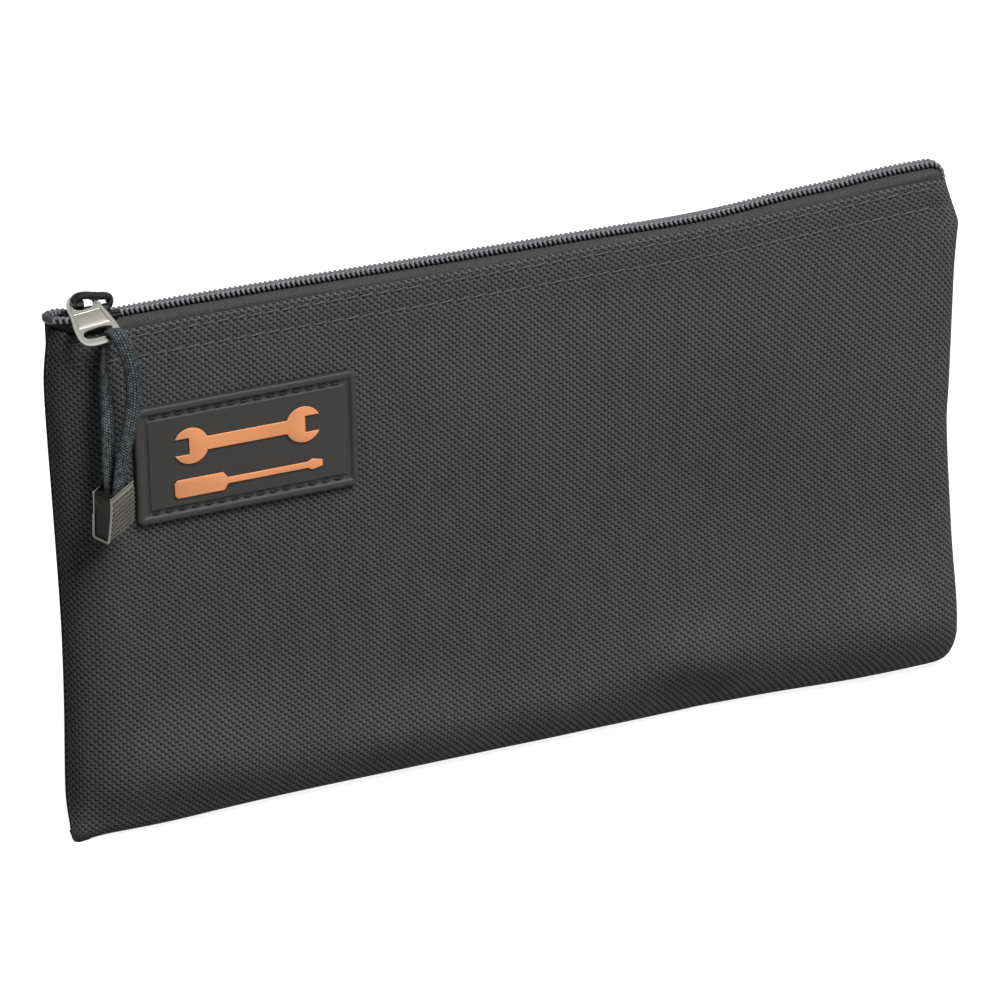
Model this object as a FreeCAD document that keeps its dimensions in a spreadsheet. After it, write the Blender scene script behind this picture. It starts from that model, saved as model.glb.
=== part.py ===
"""Zippered tool pouch: two cloth panels, a coil zipper, a pull on a cord loop and a sewn label.

Millimetres. X runs along the pouch, -Y is the front and +Z is up. The pouch stands on its flat
bottom with the middle of the bottom seam at the origin. Every size is a cell of the sheet.
"""
import FreeCAD, Part
import math
import os
import re
import Sketcher

V = FreeCAD.Vector
X, Y, Z = V(1, 0, 0), V(0, 1, 0), V(0, 0, 1)

SIZES = {
    # pouch
    "bag_width": 316.0,
    "bag_height": 177.0,
    "bag_depth": 18.0,
    "edge_roll": 3.0,
    "corner_radius": 12.0,
    "cloth": 0.9,
    "seam_gap": 0.6,
    "seam_setback": 1.3,
    # hem and seams
    "hem_drop": 5.0,
    "hem_width": 14.0,
    "hem_clearance": 0.2,
    "allowance": 9.0,
    "binding_cloth": 0.4,
    "binding_slack": 0.05,
    "seam_inset": 1.6,
    # zipper chain
    "chain_width": 6.2,
    "chain_thick": 2.2,
    "tooth_pitch": 1.6,
    "tooth_width": 0.62,
    "tooth_reach": 0.7,
    "spine_width": 1.6,
    "chain_left_gap": 1.0,
    "chain_right_gap": 4.0,
    "eyelet_bow": 2.7,
    "tape_thick": 0.7,
    "tape_gap": 2.2,
    "tape_slope": 1.3,
    "tape_tail": 14.0,
    # slider
    "slider_inset": 17.0,
    "slider_length": 14.0,
    "nose_width": 8.4,
    "tail_width": 8.4,
    "wing_thick": 1.1,
    "lower_wing_width": 7.2,
    "post_width": 1.5,
    "post_length": 4.2,
    "lip_width": 0.9,
    "arch_thick": 1.5,
    "arch_depth": 1.8,
    "arch_opening": 4.6,
    "arch_gap": 0.9,
    "arch_leg": 2.0,
    "run_clearance": 0.3,
    # pull tab
    "tab_offset": -3.7,
    "swing_rise": 2.75,
    "tab_tilt": 24.0,
    "tab_head": 4.3,
    "tab_length": 16.8,
    "tab_top_width": 9.4,
    "tab_bottom_width": 14.0,
    "tab_thick": 1.3,
    "tab_corner": 2.2,
    "eye_width": 6.6,
    "eye_height": 5.8,
    "slot_width": 9.6,
    "slot_height": 3.6,
    "bar_width": 2.2,
    "recess_depth": 0.35,
    "recess_start": 4.4,
    "recess_end": 10.4,
    "recess_border": 1.4,
    # cord and clip
    "cord_diameter": 2.2,
    "clip_x": -141.2,
    "clip_y": -17.6,
    "clip_top": 122.8,
    "clip_turn": 36.0,
    "clip_width": 10.6,
    "clip_height": 16.0,
    "clip_mouth": 6.2,
    "clip_foot": 5.2,
    "clip_belly": 0.9,
    "clip_wall": 0.6,
    "clip_lip": 1.4,
    "rib_depth": 0.35,
    "insert_drop": 1.2,
    "insert_recess": 0.5,
    "insert_clearance": 0.1,
    "pin_diameter": 1.6,
    "pin_drop": 3.4,
    "pin_back": 0.9,
    # label
    "label_left": 25.0,
    "label_drop": 31.0,
    "label_width": 75.0,
    "label_height": 39.0,
    "label_base": 1.0,
    "label_corner": 1.2,
    "rim_width": 2.0,
    "rim_height": 0.7,
    "groove_width": 2.2,
    "field_height": 0.3,
    "label_gap": 0.2,
    "motif_height": 0.6,
    "motif_gap": 0.05,
    "spanner_length": 50.0,
    "spanner_shank": 4.4,
    "spanner_head": 12.0,
    "spanner_jaw": 5.6,
    "spanner_rise": 4.6,
    "driver_length": 50.0,
    "driver_handle": 6.0,
    "driver_shaft": 2.0,
    "driver_drop": 9.4,
    # sewing
    "stitch_pitch": 5.4,
    "stitch_length": 4.2,
    "thread": 0.5,
    "edge_row": 1.2,
    "row_spacing": 6.6,
    "label_stitch_pitch": 5.0,
    "label_stitch_length": 3.6,
    "thread_gap": 0.05,
}

# The cord as it hangs: out of the clip, up behind the tab's bar, over it and down in front.
CORD_ROUTE = [
    (-142.5, -18.5, 121.8),
    (-142.8, -17.6, 130.0),
    (-142.4, -14.6, 144.0),
    (-143.3, -12.3, 158.0),
    (-142.8, -11.7, 169.0),
    (-142.0, -11.7, 177.5),
    (-141.5, -17.2, 177.6),
    (-138.8, -17.6, 170.0),
    (-136.0, -17.8, 159.0),
    (-136.2, -17.6, 147.0),
    (-138.6, -17.0, 135.0),
    (-139.5, -16.7, 128.0),
    (-139.9, -16.7, 121.8),
]

doc = FreeCAD.newDocument("tool_pouch")
sheet = doc.addObject("Spreadsheet::Sheet", "sizes")
for row, (alias, value) in enumerate(SIZES.items(), start=1):
    sheet.set(f"A{row}", alias)
    sheet.set(f"B{row}", str(value))
    sheet.setAlias(f"B{row}", alias)
doc.recompute()


def size(alias):
    """Value of one cell of the sheet, in mm or degrees."""
    return float(sheet.get(alias))


def cells(text):
    """Expression in which every bare alias is read from the sheet."""
    return re.sub(r"[a-z][a-z_]*", lambda word: "sizes." + word.group() if word.group() in SIZES else word.group(), text)


def new_body(name):
    """Empty body whose label is the name of its node."""
    body = doc.addObject("PartDesign::Body", name)
    body.Label = name
    return body


def outline(body, name, plane, corners, offset=None):
    """Closed polygon sketch, each corner held by two expressions, on one of the body's own planes."""
    sketch = body.newObject("Sketcher::SketchObject", name)
    planes = {feature.Role: feature for feature in body.Origin.OriginFeatures}
    sketch.AttachmentSupport = [(planes[plane], "")]
    sketch.MapMode = "FlatFace"
    count = len(corners)
    ring = [V(10 * math.cos(2 * math.pi * i / count), 10 * math.sin(2 * math.pi * i / count), 0) for i in range(count)]
    for i in range(count):
        sketch.addGeometry(Part.LineSegment(ring[i], ring[(i + 1) % count]))
    for i in range(count):
        sketch.addConstraint(Sketcher.Constraint("Coincident", i, 2, (i + 1) % count, 1))
    for i, (across, along) in enumerate(corners):
        for kind, text in (("DistanceX", across), ("DistanceY", along)):
            start = ring[i].x if kind == "DistanceX" else ring[i].y
            index = sketch.addConstraint(Sketcher.Constraint(kind, -1, 1, i, 1, start))
            sketch.renameConstraint(index, f"{kind[-1].lower()}{i}")
            sketch.setExpression(f"Constraints.{kind[-1].lower()}{i}", cells(text))
    if offset:
        sketch.setExpression("AttachmentOffset.Base.z", cells(offset))
    return sketch


def circles(body, name, plane, rings):
    """Sketch of whole circles, each held by its centre and radius."""
    sketch = body.newObject("Sketcher::SketchObject", name)
    planes = {feature.Role: feature for feature in body.Origin.OriginFeatures}
    sketch.AttachmentSupport = [(planes[plane], "")]
    sketch.MapMode = "FlatFace"
    for i, (across, along, radius) in enumerate(rings):
        sketch.addGeometry(Part.Circle(V(20.0 * i + 1, 1, 0), Z, 2))
        for tag, kind, text in (("x", "DistanceX", across), ("y", "DistanceY", along)):
            index = sketch.addConstraint(Sketcher.Constraint(kind, -1, 1, i, 3, 1.0))
            sketch.renameConstraint(index, f"{tag}{i}")
            sketch.setExpression(f"Constraints.{tag}{i}", cells(text))
        index = sketch.addConstraint(Sketcher.Constraint("Radius", i, 2.0))
        sketch.renameConstraint(index, f"r{i}")
        sketch.setExpression(f"Constraints.r{i}", cells(radius))
    return sketch


def pad(body, name, sketch, length, symmetric=False, reverse=False):
    """Pad of a sketch by an expression."""
    feature = body.newObject("PartDesign::Pad", name)
    feature.Profile = sketch
    feature.setExpression("Length", cells(length))
    feature.SideType = "Symmetric" if symmetric else "One side"
    feature.Reversed = reverse
    doc.recompute()
    return feature


def pocket(body, name, sketch, length, symmetric=False, reverse=False):
    """Pocket of a sketch by an expression."""
    feature = body.newObject("PartDesign::Pocket", name)
    feature.Profile = sketch
    feature.setExpression("Length", cells(length))
    feature.SideType = "Symmetric" if symmetric else "One side"
    feature.Reversed = reverse
    doc.recompute()
    return feature


def fillet(body, name, feature, radius, choose):
    """Round those straight edges of a feature that the given test picks."""
    names = [f"Edge{i}" for i, edge in enumerate(feature.Shape.Edges, start=1) if choose(edge)]
    result = body.newObject("PartDesign::Fillet", name)
    result.Base = (feature, names)
    result.setExpression("Radius", cells(radius))
    doc.recompute()
    return result


def runs_along(axis, where=None):
    """Test for straight edges along an axis, at places that the second test accepts."""
    def choose(edge):
        if len(edge.Vertexes) < 2 or not isinstance(edge.Curve, Part.Line):
            return False
        if abs(abs((edge.Vertexes[1].Point - edge.Vertexes[0].Point).normalize().dot(axis)) - 1) > 1e-4:
            return False
        return where is None or where(edge.CenterOfMass)
    return choose


def place(body, base, rotation=FreeCAD.Rotation()):
    """Put a finished body where it belongs on the pouch."""
    body.Placement = FreeCAD.Placement(base, rotation)
    doc.recompute()


def solid_node(name, shape):
    """Node whose shape is made from a formula."""
    feature = doc.addObject("Part::Feature", name)
    feature.Label = name
    feature.Shape = shape
    return feature


# heights of the zipper, from the top of the chain down
CHAIN_TOP = size("bag_height")
TAPE_TOP = CHAIN_TOP - size("chain_thick")
TAPE_BOTTOM = TAPE_TOP - size("tape_thick")
HEM_TOP = CHAIN_TOP - size("hem_drop")
LOWER_WING_TOP = TAPE_BOTTOM - size("run_clearance")
UPPER_WING_BOTTOM = CHAIN_TOP + size("run_clearance")
UPPER_WING_TOP = UPPER_WING_BOTTOM + size("wing_thick")
HALF_WIDTH = size("bag_width") / 2
SLIDER_X = -HALF_WIDTH + size("slider_inset")
FACE = size("bag_depth") / 2


def panel(name, side):
    """Cloth panel as a shallow tray that is open at the top and at the seam; side is -1 for the front."""
    body = new_body(name)
    front = side < 0
    mark = "" if front else "-1 * "
    seam = "seam_gap / 2 - seam_setback" if front else "-(seam_gap / 2 + seam_setback)"
    reach = "bag_depth / 2 + " + seam if not front else f"bag_depth / 2 - ({seam})"
    top = "bag_height - hem_drop"
    sketch = outline(body, name + "_outline", "XZ_Plane", [
        ("-bag_width / 2", "0"),
        ("bag_width / 2", "0"),
        ("bag_width / 2", top),
        ("-bag_width / 2", top),
    ], seam)
    block = pad(body, name + "_block", sketch, reach, reverse=not front)
    cornered = fillet(body, name + "_corners", block, "corner_radius", runs_along(Y, lambda point: point.z < 1))
    rolled = fillet(body, name + "_rolls", cornered, "edge_roll", lambda edge: (
        abs(edge.BoundBox.YMax - edge.BoundBox.YMin) < 0.01
        and abs(edge.CenterOfMass.y - side * size("bag_depth") / 2) < 0.01
        and edge.CenterOfMass.z < HEM_TOP - 1))
    openings = []
    seam_at = size("seam_setback") + side * size("seam_gap") / 2
    for index, face in enumerate(rolled.Shape.Faces, start=1):
        box = face.BoundBox
        at_seam = abs(box.YMax - box.YMin) < 0.01 and abs(face.CenterOfMass.y - seam_at) < 0.01
        at_top = abs(box.ZMax - box.ZMin) < 0.01 and abs(face.CenterOfMass.z - HEM_TOP) < 0.01
        if at_seam or at_top:
            openings.append(f"Face{index}")
    hollow = body.newObject("PartDesign::Thickness", name + "_hollow")
    hollow.Base = (rolled, openings)
    hollow.setExpression("Value", cells("cloth"))
    hollow.Reversed = True
    doc.recompute()
    # the cloth is turned in along the top, so it lies double there
    turned = outline(body, name + "_hem_outline", "XZ_Plane", [
        ("-bag_width / 2 + edge_roll + 1", top + " - hem_width"),
        ("bag_width / 2 - edge_roll - 1", top + " - hem_width"),
        ("bag_width / 2 - edge_roll - 1", top),
        ("-bag_width / 2 + edge_roll + 1", top),
    ], mark + "(bag_depth / 2 - 2 * cloth)")
    pad(body, name + "_hem", turned, "cloth", reverse=not front)
    return body


# panels: the front one also carries the turned-in seam allowances that the bindings close
front_panel = panel("front_panel", -1)
panel("back_panel", 1)
allowance_start = "seam_gap / 2 - seam_setback + binding_cloth + binding_slack"
for word, mark in (("left", "-1 * "), ("right", "")):
    strip = outline(front_panel, word + "_allowance_outline", "XZ_Plane", [
        (mark + "(bag_width / 2 - cloth * 0.4)", "2 * corner_radius"),
        (mark + "(bag_width / 2 - cloth * 0.4 - allowance)", "2 * corner_radius"),
        (mark + "(bag_width / 2 - cloth * 0.4 - allowance)", "bag_height - hem_drop - hem_width - 4"),
        (mark + "(bag_width / 2 - cloth * 0.4)", "bag_height - hem_drop - hem_width - 4"),
    ], allowance_start)
    pad(front_panel, word + "_allowance", strip, "cloth")
strip = outline(front_panel, "bottom_allowance_outline", "XZ_Plane", [
    ("-bag_width / 2 + 2 * corner_radius", "cloth * 0.4"),
    ("bag_width / 2 - 2 * corner_radius", "cloth * 0.4"),
    ("bag_width / 2 - 2 * corner_radius", "cloth * 0.4 + allowance"),
    ("-bag_width / 2 + 2 * corner_radius", "cloth * 0.4 + allowance"),
], allowance_start)
pad(front_panel, "bottom_allowance", strip, "cloth")


# bindings: folded tapes over the seam allowances
def binding(name, hand):
    """Upright binding at one side seam: a folded tape open towards the seam."""
    body = new_body(name)
    depth = "seam_gap / 2 - seam_setback"
    fold = "(bag_width / 2 - cloth * 0.4 - allowance - binding_slack - binding_cloth)"
    mouth = "(bag_width / 2 - cloth - binding_slack * 4)"
    inner = "(bag_width / 2 - cloth * 0.4 - allowance - binding_slack)"
    sign = "-1 * " if hand < 0 else ""
    back_in = f"-({depth} + binding_cloth)"
    front_in = f"-({depth} + binding_cloth + 2 * binding_slack + cloth)"
    front_out = f"-({depth} + 2 * binding_cloth + 2 * binding_slack + cloth)"
    corners = [
        (sign + mouth, f"-({depth})"),
        (sign + fold, f"-({depth})"),
        (sign + fold, front_out),
        (sign + mouth, front_out),
        (sign + mouth, front_in),
        (sign + inner, front_in),
        (sign + inner, back_in),
        (sign + mouth, back_in),
    ]
    sketch = outline(body, name + "_outline", "XY_Plane", corners, "2 * corner_radius")
    pad(body, name + "_run", sketch, "bag_height - hem_drop - hem_width - 4 - 2 * corner_radius")
    return body


binding("left_binding", -1)
binding("right_binding", 1)

bottom = new_body("bottom_binding")
foot = "cloth + binding_slack * 4"
crest = "cloth * 0.4 + allowance + binding_slack"
near = "-(seam_gap / 2 - seam_setback)"
near_in = "-(seam_gap / 2 - seam_setback + binding_cloth)"
far_in = "-(seam_gap / 2 - seam_setback + binding_cloth + 2 * binding_slack + cloth)"
far = "-(seam_gap / 2 - seam_setback + 2 * binding_cloth + 2 * binding_slack + cloth)"
bottom_outline = outline(bottom, "bottom_outline", "YZ_Plane", [
    (near, foot),
    (near, crest + " + binding_cloth"),
    (far, crest + " + binding_cloth"),
    (far, foot),
    (far_in, foot),
    (far_in, crest),
    (near_in, crest),
    (near_in, foot),
])
pad(bottom, "bottom_run", bottom_outline, "bag_width - 4 * corner_radius", symmetric=True)


# zipper tapes
def tape(name, side):
    """Zipper tape: flat beside the chain, then down behind the hem."""
    body = new_body(name)
    drop = "(bag_depth / 2 - 2 * cloth - hem_clearance)"
    flat = f"({drop} - tape_slope)"
    top = "bag_height - chain_thick"
    mark = "" if side > 0 else "-1 * "
    corners = [
        (mark + "tape_gap / 2", top),
        (mark + flat, top),
        (mark + drop, "bag_height - hem_drop - 0.8"),
        (mark + drop, "bag_height - hem_drop - tape_tail"),
        (mark + f"({drop} - tape_thick)", "bag_height - hem_drop - tape_tail"),
        (mark + f"({drop} - tape_thick)", "bag_height - hem_drop - 0.9"),
        (mark + f"({flat} - tape_thick * 0.4)", top + " - tape_thick"),
        (mark + "tape_gap / 2", top + " - tape_thick"),
    ]
    sketch = outline(body, name + "_section", "YZ_Plane", corners)
    pad(body, name + "_run", sketch, "bag_width - 2 * edge_roll - 6", symmetric=True)
    ends = outline(body, name + "_ends", "XY_Plane", [
        ("-bag_width / 2 + chain_left_gap", mark + "tape_gap / 2"),
        ("bag_width / 2 - chain_right_gap", mark + "tape_gap / 2"),
        ("bag_width / 2 - chain_right_gap", mark + f"({flat} - tape_thick * 0.4)"),
        ("-bag_width / 2 + chain_left_gap", mark + f"({flat} - tape_thick * 0.4)"),
    ], "bag_height - chain_thick - tape_thick")
    pad(body, name + "_flat", ends, "tape_thick")
    return body


tape("front_tape", -1)
tape("back_tape", 1)


# zipper coils: two toothed rows in mesh, parted at the slider's nose and round the end eyelet
def row_bow(x):
    """How far each row stands away from the closed line of the chain at a place along it."""
    nose = SLIDER_X - 1.2
    end = -HALF_WIDTH + size("chain_left_gap")
    peak = SLIDER_X - size("slider_length") / 2 + 0.6
    if x >= nose:
        return 0.0
    if x >= peak:
        return size("eyelet_bow") * math.sin(math.pi / 2 * min(1.0, (nose - x) / (nose - peak) * 1.15))
    return 0.9 + (size("eyelet_bow") - 0.9) * math.cos(math.pi / 2 * (peak - x) / (peak - end))


def coil(side, phase):
    """One row of the chain: a spine with teeth that reach past the middle line."""
    pitch = size("tooth_pitch")
    start = -HALF_WIDTH + size("chain_left_gap") + phase * pitch
    stop = HALF_WIDTH - size("chain_right_gap")
    count = int((stop - start) / pitch)
    back = size("chain_width") / 2
    root = back - size("spine_width")
    reach = size("tooth_reach")
    half = size("tooth_width") / 2
    toothed = []
    spine = []
    for step in range(count):
        middle = start + (step + 0.5) * pitch
        for x, depth in ((middle - half, root), (middle - half, -reach), (middle + half, -reach), (middle + half, root)):
            toothed.append(V(x, side * (depth + row_bow(x)), TAPE_TOP))
        spine.append(V(middle, side * (back + row_bow(middle)), TAPE_TOP))
    ring = toothed + list(reversed(spine))
    wire = Part.makePolygon(ring + ring[:1])
    return Part.Face(wire).extrude(V(0, 0, size("chain_thick")))


solid_node("front_coil", coil(-1, 0.0))
solid_node("back_coil", coil(1, 0.5))

# slider
slider = new_body("slider_body")
lower = outline(slider, "lower_wing_outline", "XY_Plane", [
    ("-slider_length / 2", "-lower_wing_width / 2 + 1.4"),
    ("-slider_length / 2 + 1.4", "-lower_wing_width / 2"),
    ("slider_length / 2 - 1", "-lower_wing_width / 2 + 0.3"),
    ("slider_length / 2", "-lower_wing_width / 2 + 1.3"),
    ("slider_length / 2", "lower_wing_width / 2 - 1.3"),
    ("slider_length / 2 - 1", "lower_wing_width / 2 - 0.3"),
    ("-slider_length / 2 + 1.4", "lower_wing_width / 2"),
    ("-slider_length / 2", "lower_wing_width / 2 - 1.4"),
])
pad(slider, "lower_wing", lower, "wing_thick", reverse=True)
post = outline(slider, "post_outline", "XY_Plane", [
    ("-slider_length / 2 + 0.8", "-post_width / 4"),
    ("-slider_length / 2 + 0.8 + post_length * 0.5", "-post_width / 2"),
    ("-slider_length / 2 + 0.8 + post_length", "0"),
    ("-slider_length / 2 + 0.8 + post_length * 0.5", "post_width / 2"),
    ("-slider_length / 2 + 0.8", "post_width / 4"),
])
rise = "chain_thick + tape_thick + 2 * run_clearance"
pad(slider, "post", post, rise)
upper = outline(slider, "upper_wing_outline", "XY_Plane", [
    ("-slider_length / 2", "-nose_width / 2 + 2"),
    ("-slider_length / 2 + 1.6", "-nose_width / 2"),
    ("-slider_length / 2 + 5", "-nose_width / 2"),
    ("slider_length / 2 - 1.2", "-tail_width / 2"),
    ("slider_length / 2", "-tail_width / 2 + 1.4"),
    ("slider_length / 2", "tail_width / 2 - 1.4"),
    ("slider_length / 2 - 1.2", "tail_width / 2"),
    ("-slider_length / 2 + 5", "nose_width / 2"),
    ("-slider_length / 2 + 1.6", "nose_width / 2"),
    ("-slider_length / 2", "nose_width / 2 - 2"),
], rise)
pad(slider, "upper_wing", upper, "wing_thick")
for hand, mark in (("front", "-1 * "), ("back", "")):
    lip = outline(slider, hand + "_lip_outline", "XY_Plane", [
        ("0", mark + "(tail_width / 2 - lip_width)"),
        ("slider_length / 2 - 1.4", mark + "(tail_width / 2 - lip_width)"),
        ("slider_length / 2 - 1.4", mark + "(tail_width / 2 - 0.05)"),
        ("0", mark + "(tail_width / 2 - 0.05)"),
    ], "tape_thick + 2 * run_clearance")
    pad(slider, hand + "_lip", lip, "chain_thick")
# the arch stands on the nose end and its free end stops short of the wing
arch_base = "(chain_thick + tape_thick + 2 * run_clearance + wing_thick)"
arch_in = f"({arch_base} + arch_opening)"
arch_out = f"({arch_base} + arch_opening + arch_thick)"
left_out = "(-slider_length / 2 + 0.7)"
left_in = "(-slider_length / 2 + 0.7 + arch_leg)"
right_in = "(slider_length / 2 - 1.3 - arch_leg)"
right_out = "(slider_length / 2 - 1.3)"
arch_outline = outline(slider, "arch_outline", "XZ_Plane", [
    (left_out, arch_base),
    (left_out, arch_in + " - 0.6"),
    (left_out + " + 0.8", arch_in + " + 0.7"),
    (left_out + " + 2.6", arch_out),
    (right_out + " - 2.6", arch_out),
    (right_out + " - 0.8", arch_in + " + 0.7"),
    (right_out, arch_in + " - 0.6"),
    (right_out, f"{arch_base} + arch_gap"),
    (right_in + " + 0.5", f"{arch_base} + arch_gap"),
    (right_in + " + 0.3", arch_in + " - 1.0"),
    (right_in + " - 0.6", arch_in),
    (left_in + " + 0.3", arch_in),
    (left_in, arch_in + " - 0.5"),
    (left_in, arch_base),
])
pad(slider, "arch", arch_outline, "arch_depth", symmetric=True)
place(slider, V(SLIDER_X, 0, LOWER_WING_TOP))

# pull tab, drawn flat about its swing line and then tilted
PULL_X = SLIDER_X + size("tab_offset")
SWING_Z = UPPER_WING_TOP + size("swing_rise")
tab = new_body("pull_tab")
tab_outline = outline(tab, "tab_outline", "XY_Plane", [
    ("-tab_top_width / 2", "tab_head"),
    ("tab_top_width / 2", "tab_head"),
    ("tab_bottom_width / 2", "-tab_length"),
    ("-tab_bottom_width / 2", "-tab_length"),
])
plate = pad(tab, "tab_plate", tab_outline, "tab_thick", symmetric=True)
corners_round = fillet(tab, "tab_corners", plate, "tab_corner", runs_along(Z))
eye = outline(tab, "eye_outline", "XY_Plane", [
    ("-eye_width / 2 + 1.2", "eye_height / 2"),
    ("eye_width / 2 - 1.2", "eye_height / 2"),
    ("eye_width / 2", "eye_height / 2 - 1.4"),
    ("eye_width / 2", "-eye_height / 2"),
    ("-eye_width / 2", "-eye_height / 2"),
    ("-eye_width / 2", "eye_height / 2 - 1.4"),
])
pocket(tab, "eye_cut", eye, "tab_thick * 2", symmetric=True)
slot_top = "-tab_length + bar_width + slot_height"
slot_low = "-tab_length + bar_width"
slot = outline(tab, "slot_outline", "XY_Plane", [
    ("-slot_width / 2 + 1", slot_top),
    ("slot_width / 2 - 1", slot_top),
    ("slot_width / 2", slot_top + " - 0.9"),
    ("slot_width / 2", slot_low + " + 0.9"),
    ("slot_width / 2 - 1", slot_low),
    ("-slot_width / 2 + 1", slot_low),
    ("-slot_width / 2", slot_low + " + 0.9"),
    ("-slot_width / 2", slot_top + " - 0.9"),
])
pocket(tab, "slot_cut", slot, "tab_thick * 2", symmetric=True)
top_half = "(tab_top_width / 2 - recess_border)"
bottom_half = "(tab_bottom_width / 2 - recess_border - 0.8)"
recess = outline(tab, "recess_outline", "XY_Plane", [
    ("-1 * " + top_half, "-recess_start"),
    (top_half, "-recess_start"),
    (bottom_half, "-recess_end"),
    ("-1 * " + bottom_half, "-recess_end"),
], "tab_thick / 2")
pocket(tab, "recess_cut", recess, "recess_depth")
place(tab, V(PULL_X, 0, SWING_Z), FreeCAD.Rotation(X, size("tab_tilt")))


# cord
def cord_path(points):
    """Straight runs joined by tangent arcs, with the arcs' radii."""
    points = [V(*point) for point in points]
    edges = []
    radii = []
    start = points[0]
    for i in range(1, len(points) - 1):
        back = points[i - 1] - points[i]
        ahead = points[i + 1] - points[i]
        shorter = min(back.Length, ahead.Length)
        turn = math.pi - back.getAngle(ahead)
        cut = 0.45 * shorter
        radii.append(cut / math.tan(turn / 2))
        back.normalize()
        ahead.normalize()
        first, last = points[i] + back * cut, points[i] + ahead * cut
        bisector = (back + ahead).normalize()
        reach = cut / math.cos(back.getAngle(bisector))
        middle = points[i] + bisector * (reach - radii[-1])
        edges.append(Part.LineSegment(start, first).toShape())
        edges.append(Part.Arc(first, middle, last).toShape())
        start = last
    edges.append(Part.LineSegment(start, points[-1]).toShape())
    return Part.Wire(edges), radii


path, bend_radii = cord_path(CORD_ROUTE)
heading = (V(*CORD_ROUTE[1]) - V(*CORD_ROUTE[0])).normalize()
ring = Part.Wire(Part.makeCircle(size("cord_diameter") / 2, V(*CORD_ROUTE[0]), heading))
cord = path.makePipeShell([ring], True, False)
print("cord radii", [round(radius, 1) for radius in bend_radii])
print("cord volume", round(cord.Volume, 1), "expected", round(path.Length * math.pi * size("cord_diameter") ** 2 / 4, 1),
      "length", round(path.Length, 1))
solid_node("pull_cord", cord)

# clip on the cord's two ends
RIBS = 6
CLIP_AT = V(size("clip_x"), size("clip_y"), size("clip_top"))
CLIP_TURN = FreeCAD.Rotation(Z, size("clip_turn"))
clip = new_body("clip_shell")
front_edge = []
for step in range(2 * RIBS + 1):
    share = f"(clip_lip + (clip_height - 2 * clip_lip) * {step} / {2 * RIBS}) / clip_height"
    bulge = f"clip_belly * 4 * ({share}) * (1 - {share})"
    half = f"clip_mouth / 2 + (clip_foot - clip_mouth) / 2 * {share} + {bulge}"
    valley = " - rib_depth" if step % 2 else ""
    front_edge.append((f"-({half}{valley})", f"-clip_height * {share}"))
back_edge = [(across[1:], along) for across, along in reversed(front_edge)]
shell_outline = outline(clip, "clip_outline", "YZ_Plane",
                        [("-clip_mouth / 2", "0")] + front_edge
                        + [("-clip_foot / 2", "-clip_height"), ("clip_foot / 2", "-clip_height")]
                        + back_edge + [("clip_mouth / 2", "0")])
pad(clip, "clip_block", shell_outline, "clip_width", symmetric=True)
mouth_half = "clip_mouth / 2 - clip_wall - rib_depth * 0.3"
foot_half = "clip_foot / 2 - clip_wall - rib_depth * 0.3"
hollow = outline(clip, "clip_hollow", "YZ_Plane", [
    (f"-({mouth_half})", "1"),
    (f"-({mouth_half})", "-clip_lip"),
    (f"-({foot_half})", "-clip_height + clip_wall"),
    (foot_half, "-clip_height + clip_wall"),
    (mouth_half, "-clip_lip"),
    (mouth_half, "1"),
])
pocket(clip, "clip_hollow_cut", hollow, "clip_width + 2", symmetric=True)
place(clip, CLIP_AT, CLIP_TURN)

insert = new_body("clip_insert")
insert_top = "-insert_drop"
insert_outline = outline(insert, "insert_outline", "YZ_Plane", [
    (f"-({mouth_half} - insert_clearance)", insert_top),
    (f"-({mouth_half} - insert_clearance)", "-clip_lip"),
    (f"-({foot_half} - insert_clearance)", "-clip_height + clip_wall + insert_clearance"),
    (f"{foot_half} - insert_clearance", "-clip_height + clip_wall + insert_clearance"),
    (f"{mouth_half} - insert_clearance", "-clip_lip"),
    (f"{mouth_half} - insert_clearance", insert_top),
])
pad(insert, "insert_block", insert_outline, "clip_width - 2 * insert_recess", symmetric=True)
pin_hole = circles(insert, "pin_hole", "YZ_Plane", [("pin_back", "-pin_drop", "pin_diameter / 2 + insert_clearance")])
pocket(insert, "pin_hole_cut", pin_hole, "clip_width + 2", symmetric=True)
place(insert, CLIP_AT, CLIP_TURN)

pin = doc.addObject("Part::Cylinder", "clip_pin")
pin.Label = "clip_pin"
pin.setExpression("Radius", cells("pin_diameter / 2"))
pin.setExpression("Height", cells("clip_width - insert_recess"))
pin_start = CLIP_AT + CLIP_TURN.multVec(V(-(size("clip_width") - size("insert_recess")) / 2, size("pin_back"), -size("pin_drop")))
pin.Placement = FreeCAD.Placement(pin_start, CLIP_TURN.multiply(FreeCAD.Rotation(Z, X)))

# label on the flat upper part of the front face
LABEL_X = -HALF_WIDTH + size("label_left") + size("label_width") / 2
LABEL_Z = CHAIN_TOP - size("label_drop") - size("label_height") / 2
LABEL_FACE = V(LABEL_X, -FACE, LABEL_Z)
LABEL_TURN = FreeCAD.Rotation(X, 90)
OUT = LABEL_TURN.multVec(Z)
label = new_body("label_patch")
frame = [("-label_width / 2", "-label_height / 2"), ("label_width / 2", "-label_height / 2"),
         ("label_width / 2", "label_height / 2"), ("-label_width / 2", "label_height / 2")]


def inset(by):
    """Label outline brought in by an expression on every side."""
    return [(f"-label_width / 2 + {by}", f"-label_height / 2 + {by}"), (f"label_width / 2 - ({by})", f"-label_height / 2 + {by}"),
            (f"label_width / 2 - ({by})", f"label_height / 2 - ({by})"), (f"-label_width / 2 + {by}", f"label_height / 2 - ({by})")]


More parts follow.
